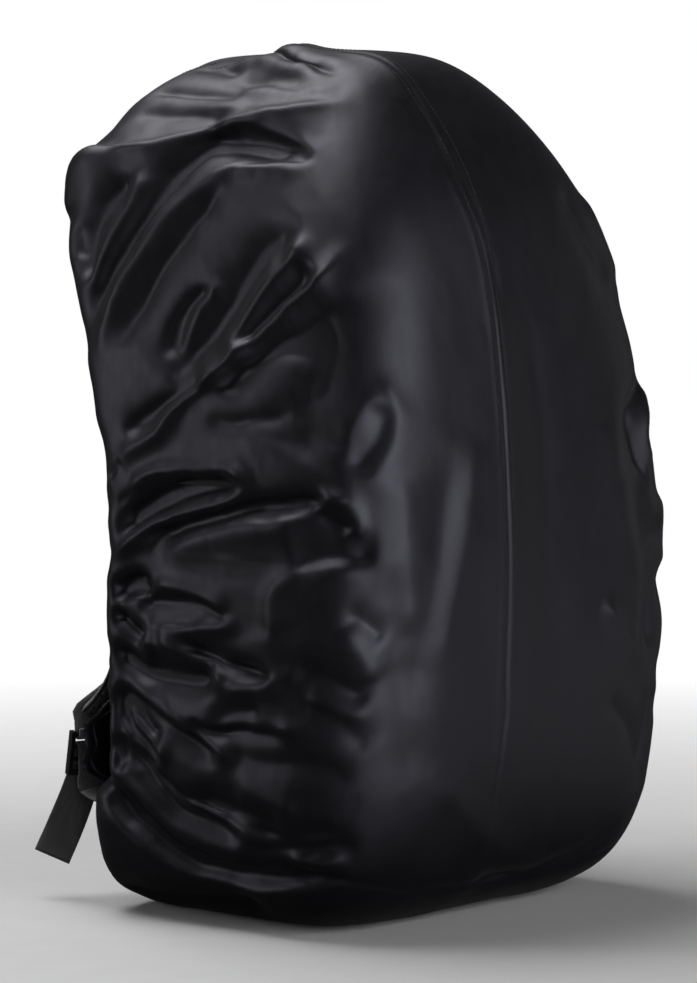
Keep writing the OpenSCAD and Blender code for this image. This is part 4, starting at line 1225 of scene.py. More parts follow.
def build_cover():
    grid, angles, hem_place = cover_surface()
    # channel: the last rows turn in round the elastic cord
    zero = np.zeros_like(angles)
    outward = np.stack([np.cos(angles), zero, np.sin(angles)], -1)
    hem_line = np.stack([hem_place, zero, zero], -1)
    ruffle = 0.9 * np.sin(hem_place / 5.3) + 0.8 * noise(hem_line, 9, 70)
    centre = grid[-1] - [0, CHANNEL_R, 0]
    channel = []
    for k, turn in enumerate(CHANNEL_TURN):
        radius = CHANNEL_R + 0.35 * ruffle * math.sin(math.radians(20 + 18 * k))
        channel.append(centre + outward * (radius * math.cos(turn))[:, None]
                       + np.stack([zero, radius * math.sin(turn), zero], -1))
    grid = np.concatenate([grid, np.stack(channel)], 0)
    grid[..., 2] = np.maximum(grid[..., 2], 0.05)
    inner = grid - normals(grid, True) * 0.75
    inner[..., 2] = np.maximum(inner[..., 2], 0.85)
    rows, cols = grid.shape[:2]
    count = rows * cols
    last = count - cols
    verts = np.vstack([grid.reshape(-1, 3), inner.reshape(-1, 3),
                       [grid[0].mean(0)], [inner[0].mean(0)]])
    a = np.arange(cols)
    b = (a + 1) % cols
    rim = np.stack([last + a, count + last + a, count + last + b, last + b], -1)
    faces = [*grid_faces(rows, cols, True, 0, True), *grid_faces(rows, cols, True, count), *rim]
    faces += [(2 * count, i, j) for i, j in zip(a, b)]
    faces += [(2 * count + 1, count + j, count + i) for i, j in zip(a, b)]
    ob = mesh_obj("rain_cover", verts, faces, M_COVER)
    piece(ob, "cover", "cover_fabric", "cover_shell", "cover_hem")
    return grid


cover_grid = build_cover()


# ---------------------------------------------------------------- pack
def pack_grid(angles, polars, inset):
    return pack_point(*np.meshgrid(angles, polars), inset)


def build_sack():
    """Side wall, sagging a little, with two seams and piping along its edges."""
    angles = circle(240)
    degrees = np.concatenate([np.linspace(7, 30, 9), np.linspace(33, 54, 15),
                              np.linspace(57, 128, 40), [129.5, 130.6, 131.3]])
    grid = pack_grid(angles, np.radians(degrees), 0.25)
    seam = sum(np.exp(-((degrees[:, None] - at) / 0.9) ** 2) for at in (56.5, 124.0))
    sag = (0.9 * noise(grid, 70, 100) + 0.5 * noise(grid, 28, 101)
           + 0.35 * ridged(noise(grid * [1, 1, 0.6], 18, 102)) * (1 - seam))
    depth = 1.3 + np.clip(1.1 - sag, 0, 2.4) * 0.55 + seam * 1.1
    grid = grid - normals(grid, True) * depth[..., None]
    ob = shell_obj("pack_sack", grid, 1.4, M_PACK, ring=True, pole=pack_point(0.0, 0.0, 1.6))
    piece(ob, "pack", "pack_fabric", "pack_shell")
    for tag, polar, inset, radius in (("front", 41.5, 0.6, 1.1), ("back", 131.2, 0.4, 1.25)):
        ob = cord_obj("sack_piping_" + tag, pack_point(angles, math.radians(polar), inset),
                      radius, M_BIND, closed=True)
        piece(ob, "pack", "pack_fabric")


def build_back_panel():
    angles = circle(240)
    polars = np.radians(np.concatenate([[132.0, 133], np.linspace(134.5, 176, 30)]))
    grid = pack_grid(angles, polars, 0.35)
    x, z = grid[..., 0], grid[..., 2]
    # grooves round the pads: upright ones at x, level ones at z
    dip = 0.35 + 0.3 * ridged(noise(grid, 26, 104))
    for at in (-101, -7, 7, 101):
        dip += (1.5 * np.exp(-((x - at) / 2.2) ** 2) * smoothstep(66, 76, z)
                * smoothstep(446, 436, z))
    for at in (70, 145, 434):
        dip += 1.4 * np.exp(-((z - at) / 2.2) ** 2) * smoothstep(112, 100, np.abs(x))
    grid = grid - normals(grid, True) * np.clip(dip, 0, 2.0)[..., None]
    ob = shell_obj("back_fabric", grid, 0.5, M_PANEL, ring=True, pole_end=grid[-1].mean(0))
    piece(ob, "pack", "pack_fabric", "back_panel")
    closed = np.append(angles, angles[0])
    polar = math.radians(131.9)
    path = pack_point(closed, polar, 0.3)
    ob = stitches("back_seam_stitch", path, unit(path - pack_point(closed, polar, 3.0)),
                  M_THREAD, pitch=4.2, length=2.8, radius=0.3, lift=-0.05)
    piece(ob, "pack", "pack_fabric")


def back_pad(name, node, x_range, z_range, thick, level_channels=(), upright_channels=()):
    """A crowned foam pad in spacer mesh with pressed channels and a bound rim."""
    (x0, x1), (z0, z1) = x_range, z_range
    cols, rows = 44, max(24, int((z1 - z0) / 3.0))
    mid_x, mid_z = (x0 + x1) / 2, (z0 + z1) / 2
    half_x, half_z = (x1 - x0) / 2 - 1.2, (z1 - z0) / 2 - 1.2
    even = np.linspace(-1, 1, cols)
    across, up = np.meshgrid(np.sin(even * math.pi / 2) * 0.35 + even * 0.65,
                             np.linspace(-1, 1, rows))
    # pull the corners in to a radius
    corner = 16.0
    dist_x, dist_z = np.abs(across) * half_x, np.abs(up) * half_z
    flat_x, flat_z = half_x - corner, half_z - corner
    over_x, over_z = np.maximum(dist_x - flat_x, 0), np.maximum(dist_z - flat_z, 0)
    diagonal = np.maximum(np.sqrt(over_x ** 2 + over_z ** 2), 1e-6)
    scale = np.where((over_x > 0) & (over_z > 0),
                     np.minimum(1.0, np.maximum(over_x, over_z) / diagonal), 1.0)
    x = mid_x + np.sign(across) * (np.minimum(dist_x, flat_x) + over_x * scale)
    z = mid_z + np.sign(up) * (np.minimum(dist_z, flat_z) + over_z * scale)
    to_edge = np.minimum((1 - np.abs(across)) * half_x, (1 - np.abs(up)) * half_z)
    rise = np.sqrt(np.clip(1 - (1 - np.clip(to_edge / 11.0, 0, 1)) ** 2, 0, 1))
    height = 1.9 + (thick - 3.2) * rise + 0.9 * (1 - across ** 2) * (1 - up ** 2)
    for place, channels in ((z, level_channels), (x, upright_channels)):
        for at in channels:
            height -= (thick - 5.0) * np.exp(-(np.abs(place - at) / 4.5) ** 2) * rise
    height += 0.25 * noise(np.stack([x, 0 * x, z], -1), 17, 110)
    height = np.clip(height, 1.6, thick - 0.3)
    y = pack_back_y(z) + 1.3
    verts = np.vstack([np.stack([x, y + height, z], -1).reshape(-1, 3),
                       np.stack([x, y + 0.25, z], -1).reshape(-1, 3)])
    count = rows * cols
    rim = [*range(cols), *range(2 * cols - 1, count, cols),
           *range(count - 2, count - cols - 1, -1), *range(count - 2 * cols, 0, -cols)]
    faces = [*grid_faces(rows, cols), *grid_faces(rows, cols, False, count, True)]
    faces += [(a, b, count + b, count + a) for a, b in zip(rim, rim[1:] + rim[:1])]
    ob = mesh_obj(name, verts, faces, M_MESH)
    subdivide(ob)
    piece(ob, "pack", "mesh_foam", node)
    edge = verts[rim] - [0, 0.1, 0]
    outward = unit((edge - [mid_x, 0, mid_z]) * [1, 0, 1])
    keep = np.concatenate([[True], np.linalg.norm(np.diff(edge, axis=0), axis=1) > 0.6])
    ob = cord_obj(name + "_binding", edge[keep] + outward[keep] * 0.05, 1.25, M_BIND,
                  closed=True)
    piece(ob, "pack", "mesh_foam")


def build_front_pocket():
    pocket_top = 300.0
    angles = circle(180)
    sine = np.sin(angles)
    radius = outline_radius(angles, 0.0, HALF_W - PACK_GAP, BAG_H - PACK_GAP, PACK_BASE)
    # share of the outline that the pocket covers, cut level at its top
    limit = np.where(sine > 0.02, (pocket_top - WAIST) / (radius * np.maximum(sine, 0.02)), 0.80)
    limit = np.minimum(0.80, limit)
    shares = np.concatenate([np.linspace(0.06, 0.9, 26), [0.93, 0.96, 0.98, 1.0]])
    polars = front_polar(np.outer(shares, limit))
    depth = 1.5 + 7.6 * np.maximum(0.0, 1 - shares ** 5) ** 0.6
    outer = pack_point(angles, polars, -depth[:, None])
    base = pack_point(angles, polars, -0.9)
    amount = np.linalg.norm(outer - base, axis=-1)
    wrinkle = (1.3 * ridged(noise(outer * [1, 1, 0.5], 34, 120))
               + 0.6 * ridged(noise(outer, 15, 121)) - 0.9)
    # level groove near the pocket's top
    groove = 1.6 * np.exp(-((outer[..., 2] - 268) / 1.8) ** 2)
    shift = (np.clip(wrinkle, -2.2, 0.5) * np.clip(amount / 6, 0, 1)
             - groove * np.clip(amount / 5, 0, 1))
    outer = outer + unit(outer - base) * shift[..., None]
    rows, cols = outer.shape[:2]
    count = rows * cols
    last = count - cols
    verts = np.vstack([outer.reshape(-1, 3), base.reshape(-1, 3),
                       [outer[0].mean(0)], [base[0].mean(0)]])
    faces = [*grid_faces(rows, cols, True), *grid_faces(rows, cols, True, count, True)]
    pairs = [(i, (i + 1) % cols) for i in range(cols)]
    faces += [(last + i, last + j, count + last + j, count + last + i) for i, j in pairs]
    faces += [(2 * count, j, i) for i, j in pairs]
    faces += [(2 * count + 1, count + i, count + j) for i, j in pairs]
    ob = mesh_obj("front_pocket_bag", verts, faces, M_POCKET)
    piece(ob, "pack", "pack_fabric", "front_pocket")
    edge = pack_point(angles, front_polar(limit * 0.985), -2.3)
    piece(cord_obj("front_pocket_piping", edge, 0.95, M_BIND, closed=True),
          "pack", "pack_fabric")


def patch(name, node, slot, mat, angles, polars, rise, thick, seed):
    """Cloth over part of the pack. angles and polars are (start, end, count) in degrees.
    Returns its grid and outward directions."""
    grid_at = np.meshgrid(arc(*angles), arc(*polars))
    grid = pack_point(*grid_at, -rise)
    outward = unit(grid - pack_point(*grid_at, 1 - rise))
    across, down = np.meshgrid(np.linspace(-1, 1, angles[2]), np.linspace(-1, 1, polars[2]))
    wrinkle = (0.22 * ridged(noise(grid * [1, 1, 0.5], 12, seed))
               * (1 - across ** 4) * (1 - down ** 4))
    grid = grid + outward * (wrinkle - 0.1)[..., None]
    piece(shell_obj(name, grid, thick, mat), "pack", slot, node)
    return grid, outward


def band(name, path, normal, lift, width, thick, slot):
    """Flat binding along a path on the pack."""
    path = path + normal * lift
    across = unit(np.cross(normal, np.gradient(path, axis=0)))
    sections = strip_sections(path, across, width, thick, cols=4, crown=0.15, edge=0.4)
    piece(tube_obj(name, sections, M_BIND), "pack", slot)


def build_patches():
    for tag, start, top_col in (("left", 144, 0), ("right", -36, -1)):
        grid, outward = patch(
            f"side_pocket_{tag}_mesh", "side_pocket_" + tag, "mesh_foam", M_STRETCH,
            angles=(start, start + 72, 70), polars=(64, 112, 56), rise=2.2, thick=1.4,
            seed=132 if tag == "left" else 134)
        band(f"side_pocket_{tag}_elastic", grid[:, top_col], outward[:, top_col],
             lift=0.25, width=9, thick=0.9, slot="elastic")
    grid, outward = patch("base_cloth", "base_panel", "base_fabric", M_BASE,
                          angles=(216, 324, 90), polars=(54, 122, 70), rise=1.7, thick=1.2,
                          seed=139)
    for tag, row in (("front", 0), ("back", -1)):
        band("base_binding_" + tag, grid[row], outward[row], lift=0.1, width=6, thick=0.7,
             slot="base_fabric")


# sections of a zip tooth: place across the tape, half width, bottom and top
TOOTH = ((-0.45, 0.42, -0.3, 0.62), (0.35, 0.5, -0.35, 0.72),
         (1.35, 0.36, -0.3, 0.4), (1.75, 0.25, -0.3, 0.05))
TOOTH_PITCH = 2.4


def build_zip():
    polars = np.radians([48, 48.6, 49.6, 50.5, 51.5, 52.4, 53.4, 54])
    ob = shell_obj("zip_tape_knit", pack_grid(arc(-27, 207, 160), polars, -1.15), 0.6,
                   M_ZIP_TAPE)
    piece(ob, "pack", "zip_tape", "zip_tape")
    # two rows of teeth, half a pitch apart
    fine = arc(-26.6, 206.6, 4000)
    centres = pack_point(fine, math.radians(51), -2.35)
    below = pack_point(fine, math.radians(51), -1.35)
    beside = pack_point(fine, math.radians(51.6), -2.35)
    run = run_length(centres)
    verts, faces = [], []
    for row, sign in ((0, -1), (1, 1)):
        for place in np.arange(0.8 + row * TOOTH_PITCH / 2, run[-1] - 1, TOOTH_PITCH):
            centre = along(place, run, centres)
            up = unit(centre - along(place, run, below))
            across = unit(along(place, run, beside) - centre)
            forward = np.cross(up, across)
            first = len(verts)
            for out, half, low, high in TOOTH:
                for a, b in ((-half, low), (half, low), (half * 0.7, high), (-half * 0.7, high)):
                    verts.append(centre + across * sign * out + forward * a + up * b)
            faces += [*grid_faces(4, 4, True, first), range(first, first + 4)[::-1],
                      range(first + 12, first + 16)]
    piece(mesh_obj("zip_teeth", verts, faces, M_COIL), "pack", "zip_coil", "zip_coil")
    for tag, degrees in (("front", 48.7), ("back", 53.3)):
        angles, polar = arc(-26.5, 206.5, 700), math.radians(degrees)
        path = pack_point(angles, polar, -1.15)
        ob = stitches("zip_stitch_" + tag, path, unit(path - pack_point(angles, polar, -0.15)),
                      M_THREAD, pitch=4.0, length=2.6, radius=0.22, lift=0.05)
        piece(ob, "pack", "zip_tape")


def build_haul_loop():
    """A loop of webbing hanging from the top of the back."""
    top = 462.0
    foot = float(pack_back_y(top)) + 5
    # x, y from the foot and z from the top, over one half
    half = [(26, 0.2, 0), (25.5, 5, -6), (22, 13, -17), (11, 19, -25)]
    points = ([(-x, foot + y, top + z) for x, y, z in half] + [(0, foot + 20, top - 26.5)]
              + [(x, foot + y, top + z) for x, y, z in half[::-1]])
    sections = strip_sections(spline(points, 10), [0, 0.68, 0.73], width=15.8, thick=1.5)
    piece(tube_obj("haul_webbing", sections, M_WEB_CROSS), "haul", "webbing", "haul_loop")


build_sack()
build_back_panel()
for tag, x_range in (("left", (-88, -14)), ("right", (14, 88))):
    back_pad(f"back_pad_{tag}_foam", "back_pad_" + tag, x_range, (150, 426), thick=12,
             level_channels=(205, 260, 315, 370))
back_pad("lumbar_foam", "lumbar_pad", (-84, 84), (76, 140), thick=13,
         upright_channels=(-42, 0, 42))
build_front_pocket()
build_patches()
build_zip()
build_haul_loop()

# ---------------------------------------------------------------- harness
# Everything is laid out on the left and mirrored in x for the right.
LOCK_YAW, LOCK_TILT = math.radians(-15), math.radians(12)
LOCK_AT = np.array([-117.0, 146.0, 106.0])
BAR_R = 2.75  # radius at which webbing turns round a bar of the ladder lock
WEB_W, WEB_T = 24.0, 1.25
WEB_OFFSET = 7.7  # from the pad's middle to the webbing on it
PAD_Y = 141  # the pad's middle along its straight run
PAD_HALF_T = 5.75


def lock_dir(vector, tilt=0.0):
    """A direction of the ladder lock in the bag's frame."""
    x, y, z = vector
    y, z = (y * math.cos(tilt) - z * math.sin(tilt), y * math.sin(tilt) + z * math.cos(tilt))
    cosine, sine = math.cos(LOCK_YAW), math.sin(LOCK_YAW)
    return np.array([cosine * x - sine * y, sine * x + cosine * y, z])


def in_lock(x, y, z):
    return LOCK_AT + lock_dir((x, y, z), LOCK_TILT)


def round_bar(degrees, z=0.0):
    return [in_lock(0, BAR_R * math.cos(a), z + BAR_R * math.sin(a)) for a in np.radians(degrees)]


# middle line of the shoulder pad, from its top end down to the ladder lock
PAD_PATH = spline([
    [-54, 121, 448], [-54, 130, 441], [-54, 138, 424], [-57, PAD_Y, 396], [-60, PAD_Y, 360],
    [-63.5, PAD_Y, 320], [-67, PAD_Y, 280], [-70.5, PAD_Y, 240], [-78, 135, 206],
    [-90, 124, 177], [-102, 116.5, 154], [-110.5, 119, 138], [-115.5, 129, 126],
    in_lock(0, -2.6, 12.4)], 2)
PAD_COUNT = len(PAD_PATH)
PAD_SHARE = np.linspace(0, 1, PAD_COUNT)
PAD_WIDTH = np.interp(PAD_SHARE, [0.2, 0.4, 0.65, 1.0], [42, 58, 58, 31])
PAD_TWIST = LOCK_YAW * smoothstep(0.62, 1.0, PAD_SHARE)
PAD_ACROSS = np.stack([np.cos(PAD_TWIST), np.sin(PAD_TWIST), 0 * PAD_TWIST], -1)
_, PAD_SIDE, PAD_NORMAL = path_frames(PAD_PATH, PAD_ACROSS)

TAB_TOP = np.array([-106.0, float(pack_back_y(64.0)) + 2.6, 64.0])


def round_end(distance, radius):
    return min(1.0, math.sqrt(max(0.02, 1 - (1 - min(1, distance / radius)) ** 2)))


def build_shoulder_pad(tag, mirror):
    """Crowned foam in fabric, troughed under the webbing, with bound edges."""
    stations = np.concatenate([PAD_PATH, PAD_SIDE, PAD_WIDTH[:, None]], 1)
    place = np.linspace(0, PAD_COUNT - 1, (PAD_COUNT - 1) * 4 + 1)
    fine = np.stack([np.interp(place, np.arange(PAD_COUNT), column) for column in stations.T], 1)
    for _ in range(3):
        fine[1:-1] = 0.25 * fine[:-2] + 0.5 * fine[1:-1] + 0.25 * fine[2:]
    path, width = fine[:, :3], fine[:, 6]
    _, across, normal = path_frames(path, fine[:, 3:6])
    run = run_length(path)
    cols, edge_t = 22, 1.1
    sections = []
    for i, place in enumerate(run):
        half = width[i] / 2 - 0.3
        end = round_end(place, 7.0) * round_end(run[-1] - place, 5.0)
        xs = np.sin(np.linspace(-1, 1, cols) * math.pi / 2) * half
        profile = np.clip(1 - (np.abs(xs) / half) ** 5.0, 0, 1) ** 0.55
        quilt = 0.0
        if 92 < place < run[-1] - 60:
            quilt = 0.55 * math.exp(-((((place - 95) % 46) - 23) / 2.6) ** 2)
        body = edge_t + (PAD_HALF_T - edge_t) * end * profile
        # the -normal face lies under the webbing
        outer = 0.35 * np.exp(-(xs / 11.5) ** 6) - body
        inner = body - quilt * 2.2 * profile
        outline = [*zip(xs, outer), (half + 0.2, 0), *zip(xs[-2:0:-1], inner[-2:0:-1]),
                   (-half - 0.2, 0)]
        sections.append([path[i] + x * across[i] + y * normal[i] for x, y in outline])
    sections = np.array(sections)
    sections[..., 1] += 0.22 * noise(sections, 16, 150)
    # the pad fabric's light grey is partly painted light
    ob = tube_obj("shoulder_pad_foam_" + tag, sections * mirror, M_PAD)
    # the +normal face is mesh
    ob.data.materials.append(M_MESH)
    rows, ring = sections.shape[:2]
    for i in range((rows - 1) * ring):
        if cols <= i % ring < ring - 1:
            ob.data.polygons[i].material_index = 1
    subdivide(ob)
    piece(ob, "strap_" + tag, "pack_fabric", "shoulder_pad_" + tag)
    for edge, sign in (("inner", 1), ("outer", -1)):
        rim = (path + sign * (width[:, None] / 2 - 0.6) * across)[2:-1]
        piece(cord_obj(f"shoulder_pad_binding_{edge}_{tag}", rim * mirror, 1.3, M_BIND),
              "strap_" + tag, "webbing")


def build_strap_webbing(tag, mirror):
    """Webbing down the pad and round the lock's upper bar, with three zigzag tacks."""
    i = np.arange(4, PAD_COUNT - 3)
    # it lifts off the pad near the lock
    lift = WEB_OFFSET + 1.9 * np.clip((i - PAD_COUNT + 10) / 3.0, 0, 1)
    end = ([in_lock(0, 6.4, 15.6), in_lock(0, 5, 8.5), in_lock(0, 3.4, 3.2)]
           + round_bar(np.arange(0, -181, -15))
           + [in_lock(0, -BAR_R, 2), in_lock(0, -2.72, 4.4)])
    path = np.vstack([PAD_PATH[i] - lift[:, None] * PAD_NORMAL[i], end])
    across = np.vstack([PAD_ACROSS[i], [lock_dir([1, 0, 0])] * len(end)])
    both = spline(np.concatenate([path, across], 1), 3)
    path, across = both[:, :3], both[:, 3:]
    # the tape takes the lighter copy of the webbing, painted light on a face the lamps leave in
    # shade
    ob = tube_obj("strap_tape_" + tag, strip_sections(path, across, WEB_W, WEB_T) * mirror,
                  M_WEB_PAINTED_LIGHTER)
    piece(ob, "strap_" + tag, "webbing", "strap_webbing_" + tag)
    tangent, across, normal = path_frames(path, across)
    x = np.linspace(-11, 11, 72)[:, None]
    y = np.tile([-1.5, 1.5], 36)[:, None]
    for station, level in ((6, "top"), (20, "mid"), (34, "low")):
        zigzag = (path[station] - normal[station] * (0.9 + 0.28 * 0.9)
                  + x * across[station] + y * tangent[station])
        ob = cord_obj(f"strap_tack_{level}_{tag}", zigzag * mirror, 0.26, M_THREAD, sides=5)
        piece(ob, "strap_" + tag, "webbing")


def build_lower_webbing(tag, mirror):
    """Webbing from the corner tab up round the lock's lower bar, made as two pieces."""
    path = spline([TAB_TOP + [0, 1.7, 3], TAB_TOP + [-3, 12, 2], TAB_TOP + [-9, 26, 1],
                   in_lock(0, -9, -33), in_lock(0, -7, -22.5), in_lock(0, -5, -14)], 6)
    path = np.vstack([path, [in_lock(0, -3.4, -10.1)], round_bar(np.arange(165, 14, -15), -8)])
    share = np.minimum(1, np.arange(len(path)) / 20.0)[:, None]
    across = (1 - share) * np.array([1, 0.1, 0]) + share * lock_dir([1, 0, 0])
    sections = strip_sections(path, across, WEB_W, WEB_T) * mirror
    cut = 18
    # one piece below the cut and one above it; the bodies and end points listed with them are not
    # used
    for part, rows, low, high, start, end in (
            ("", sections[:cut + 1], "pack", "strap_", TAB_TOP + [-2, 8, 2],
             path[cut] + (path[cut - 1] - path[cut]) * 0.5),
            ("upper_", sections[cut:], "strap_" + tag, "lock_",
             path[cut] + (path[cut + 1] - path[cut]) * 0.5, in_lock(0, -5, -14))):
        ob = tube_obj("lower_tape_" + part + tag, rows, M_WEB)
        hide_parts("lower_webbing_" + tag)
        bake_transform(ob)


def build_yoke(tag, mirror):
    """Wide band that carries the pad's top end on the back panel."""
    path = spline([[-54, 108.2, 472], [-54, 108.9, 465], [-54, 112.6, 458.5],
                   [-54, 118.5, 453.5], [-54, 124.5, 448], [-54, 127.5, 441]], 4)
    sections = strip_sections(path, [1.0, 0, 0], width=38.0, thick=2.4) * mirror
    ob = tube_obj("strap_yoke_" + tag, sections, M_PACK)
    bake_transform(ob)


def build_loose_tail(tag, mirror):
    """Loose webbing below the lock, stitched across near its end."""
    path = np.vstack([
        [in_lock(0, 2.9, -9.7), in_lock(0, 3.2, -11.7)],
        spline([in_lock(0, 6.2, -19), in_lock(0, 6.4, -29.5), [-116.5, 162.5, 62],
                [-122, 167.5, 43.5], [-128, 173, 25]], 8)])
    share = np.clip((np.arange(len(path)) - 6) / (len(path) - 7.0), 0, 1)[:, None]
    across = (1 - share) * lock_dir([1, 0, 0]) + share * np.array([0.59, -0.674, -0.436])
    ob = tube_obj("loose_tail_" + tag, strip_sections(path, across, WEB_W, WEB_T) * mirror,
                  M_WEB)
    piece(ob, "lock_" + tag, "webbing", "webbing_tail_" + tag)
    _, across, normal = path_frames(path, across)
    row = len(path) - 5
    line = (path[row] + np.linspace(-10.5, 10.5, 24)[:, None] * across[row]
            - normal[row] * 0.75)
    ob = stitches("tail_end_stitch_" + tag, line * mirror, np.tile(-normal[row], (24, 1)) * mirror,
                  M_THREAD, pitch=2.6, length=1.8, radius=0.25, lift=0.05)
    piece(ob, "lock_" + tag, "webbing")


def build_corner_tab(tag, mirror):
    """Tapered tab sewn on the pack's lower corner."""
    path = spline(TAB_TOP + np.array([[2, 0.8, -26], [1.6, 0.4, -19], [1, 0, -12],
                                      [0.5, 0, -5], [0, 0, 2]]), 5)
    width = np.interp(np.linspace(0, 1, len(path)), [0, 0.5, 1], [43.4, 35.4, 26.6])
    sections = strip_sections(path, [1.0, 0, 0], width, thick=1.35) * mirror
    piece(tube_obj("corner_tab_" + tag, sections, M_BASE), "pack", "webbing",
          "webbing_tab_" + tag)
    for row, half, y, z in ((0, 18.0, 1.75, -22), (1, 14.0, 0.95, -8)):
        line = np.array([TAB_TOP + [x + 1, y, z] for x in np.linspace(-half, half, 24)])
        ob = stitches(f"corner_tab_stitch_{row}_{tag}", line * mirror,
                      np.tile([0, 1.0, 0], (24, 1)), M_THREAD,
                      pitch=2.8, length=2.0, radius=0.25, lift=0.05)
        piece(ob, "pack", "webbing")


def build_sternum_webbing(tag, mirror):
    y = PAD_Y + WEB_OFFSET + 4.4
    path = spline([[-68, y, 302], [-58, y + 1.2, 296], [-46.5, y + 3, 284],
                   [-39, y + 3.6, 266], [-36, y + 3, 250]], 10)
    sections = strip_sections(path, [0.6, 0, 1.0], width=14.6, thick=1.05, cols=8, crown=0.08,
                              edge=0.35) * mirror
    piece(tube_obj("sternum_tape_" + tag, sections, M_WEB_CROSS), "sternum_" + tag, "webbing",
          "sternum_webbing_" + tag)


for tag, mirror_x in (("left", 1.0), ("right", -1.0)):
    mirror = np.array([mirror_x, 1.0, 1.0])
    for build in (build_shoulder_pad, build_strap_webbing, build_lower_webbing, build_yoke,
                  build_loose_tail, build_corner_tab, build_sternum_webbing):
        build(tag, mirror)


# ---------------------------------------------------------------- small parts on the cover
def tape_point(polar, x, inset):
    """Point on the cover's inside at a polar angle and a width x."""
    power = 5.4
    sine, cosine = math.sin(polar), abs(math.cos(polar))
    share = min(1.0, sine / (sine ** power + cosine ** power) ** (1 / power))
    angle = math.pi / 2 - math.asin(x / ((BAG_H - WAIST) * share))
    return body_point(angle, polar, inset)


def build_seam_tape():
    polars = np.radians(np.concatenate([np.linspace(28, 78, 50), np.linspace(80, 122, 24)]))
    # x across the tape and extra inset
    section = [(-10, 0.1), (-9.6, -0.05), (-4, 0), (0, -0.08), (4, 0), (9.6, -0.05), (10, 0.1),
               (9.6, 0.5), (-9.6, 0.5)]
    rows = [[tape_point(p, SEAM_X + x, 4.75 + inset) for x, inset in section] for p in polars]
    piece(tube_obj("cover_tape_inside", rows, M_TAPE), "cover", "cover_tape", "cover_seam_tape")


def build_hem_cord():
    """Elastic cord in the hem's channel, and its two ends knotted under the cord lock."""
    ring = body_point(circle(360), HEM_POLAR, 0.0)
    ring[:, 1] -= CHANNEL_R
    piece(cord_obj("hem_elastic", ring, 1.3, M_CORD, closed=True, sides=10),
          "cover", "elastic", "hem_cord")
    _, hem_y, hem_z = body_point(1.5 * math.pi, HEM_POLAR, 0.0)
    lock_y, lock_z = hem_y - CHANNEL_R + 17, hem_z + 10
    parts = []
    for s in (-1, 1):
        y, z = lock_y + 1.35 * s, lock_z
        path = spline([[-30, hem_y + 3.2, hem_z + 3 + 2 * s], [-20, y - 6, z - 2 + s],
                       [-11, y, z], [0, y, z], [10, y, z], [18, y + 1, z - 3],
                       [23, y + 1.5 + s, z - 12], [24, y + 2 + 0.4 * s, z - 16.5]], 8)
        parts.append(cord_obj(f"cord_end_{s}", path, 1.15, M_CORD, sides=10))
    # trefoil knot
    t = circle(60)
    radius = 2.0 + 0.85 * np.cos(3 * t)
    knot = np.stack([radius * np.cos(2 * t), radius * np.sin(2 * t), 1.25 * np.sin(3 * t)], -1)
    parts.append(cord_obj("knot", knot + [24, lock_y + 2, lock_z - 18], 1.1, M_CORD,
                          closed=True))
    piece(join("cord_ends_knotted", parts, M_CORD), "cover", "elastic", "cord_ends")


def build_lock_spring():
    """The cord lock's spring, a coil of wire as tall as its part."""
    low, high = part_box("cord_lock_spring")
    mid_x, mid_y = ((low[k] + high[k]) * 500.0 for k in (0, 1))
    turns = 4
    turn = np.linspace(0, turns * 2 * math.pi, turns * 24 + 1)
    rise = (high[2] - low[2] - 0.0008) * 1000.0 * np.linspace(0, 1, len(turn))
    coil = np.stack([mid_x + 4.2 * np.cos(turn), mid_y + 4.2 * np.sin(turn),
                     low[2] * 1000.0 + 0.4 + rise], -1)
    ob = cord_obj("lock_spring_coil", coil, 0.36, M_STEEL)
    piece(ob, "cover", "spring_steel", "cord_lock_spring")
    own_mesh(ob)


def build_cover_stitching():
    normal = normals(cover_grid, True)
    hem_row = len(cover_grid) - 1 - len(CHANNEL_TURN)
    # a run on each side of the long seam
    for tag, offset in (("left", -4.6), ("right", 4.6)):
        seam_x = SEAM_X + offset
        path, facing = [], []
        for i in range(3, hem_row - 2):
            x = cover_grid[i, :, 0]
            crossings = np.nonzero((x[:-1] - seam_x) * (x[1:] - seam_x) <= 0)[0]
            crossings = [j for j in crossings if cover_grid[i, j, 2] > WAIST + 40]
            if not crossings:
                continue
            j = crossings[0]
            t = (seam_x - x[j]) / (x[j + 1] - x[j] + 1e-9)
            path.append(cover_grid[i, j] * (1 - t) + cover_grid[i, j + 1] * t)
            facing.append(unit(normal[i, j] * (1 - t) + normal[i, j + 1] * t))
        path = np.array(path)
        for _ in range(2):
            path[1:-1] = 0.25 * path[:-2] + 0.5 * path[1:-1] + 0.25 * path[2:]
        ob = stitches("cover_seam_stitch_" + tag, path, facing, M_COVER_THREAD,
                      pitch=3.4, length=2.4, radius=0.2, lift=-0.02)
        piece(ob, "cover", "cover_fabric")
    # a run round the cover, 9 mm from the hem
    steps = np.linalg.norm(np.diff(cover_grid[:hem_row + 1][::-1], axis=0), axis=2).mean(1)
    from_hem = np.concatenate([[0], np.cumsum(steps)])
    row = hem_row - int(np.argmin(np.abs(from_hem - 9.0)))
    ob = stitches("cover_hem_stitch", np.vstack([cover_grid[row], cover_grid[row, :1]]),
                  np.vstack([normal[row], normal[row, :1]]), M_COVER_THREAD,
                  pitch=4.2, length=2.8, radius=0.26, lift=0.0)
    piece(ob, "cover", "cover_fabric")


build_seam_tape()
build_hem_cord()
build_lock_spring()
build_cover_stitching()

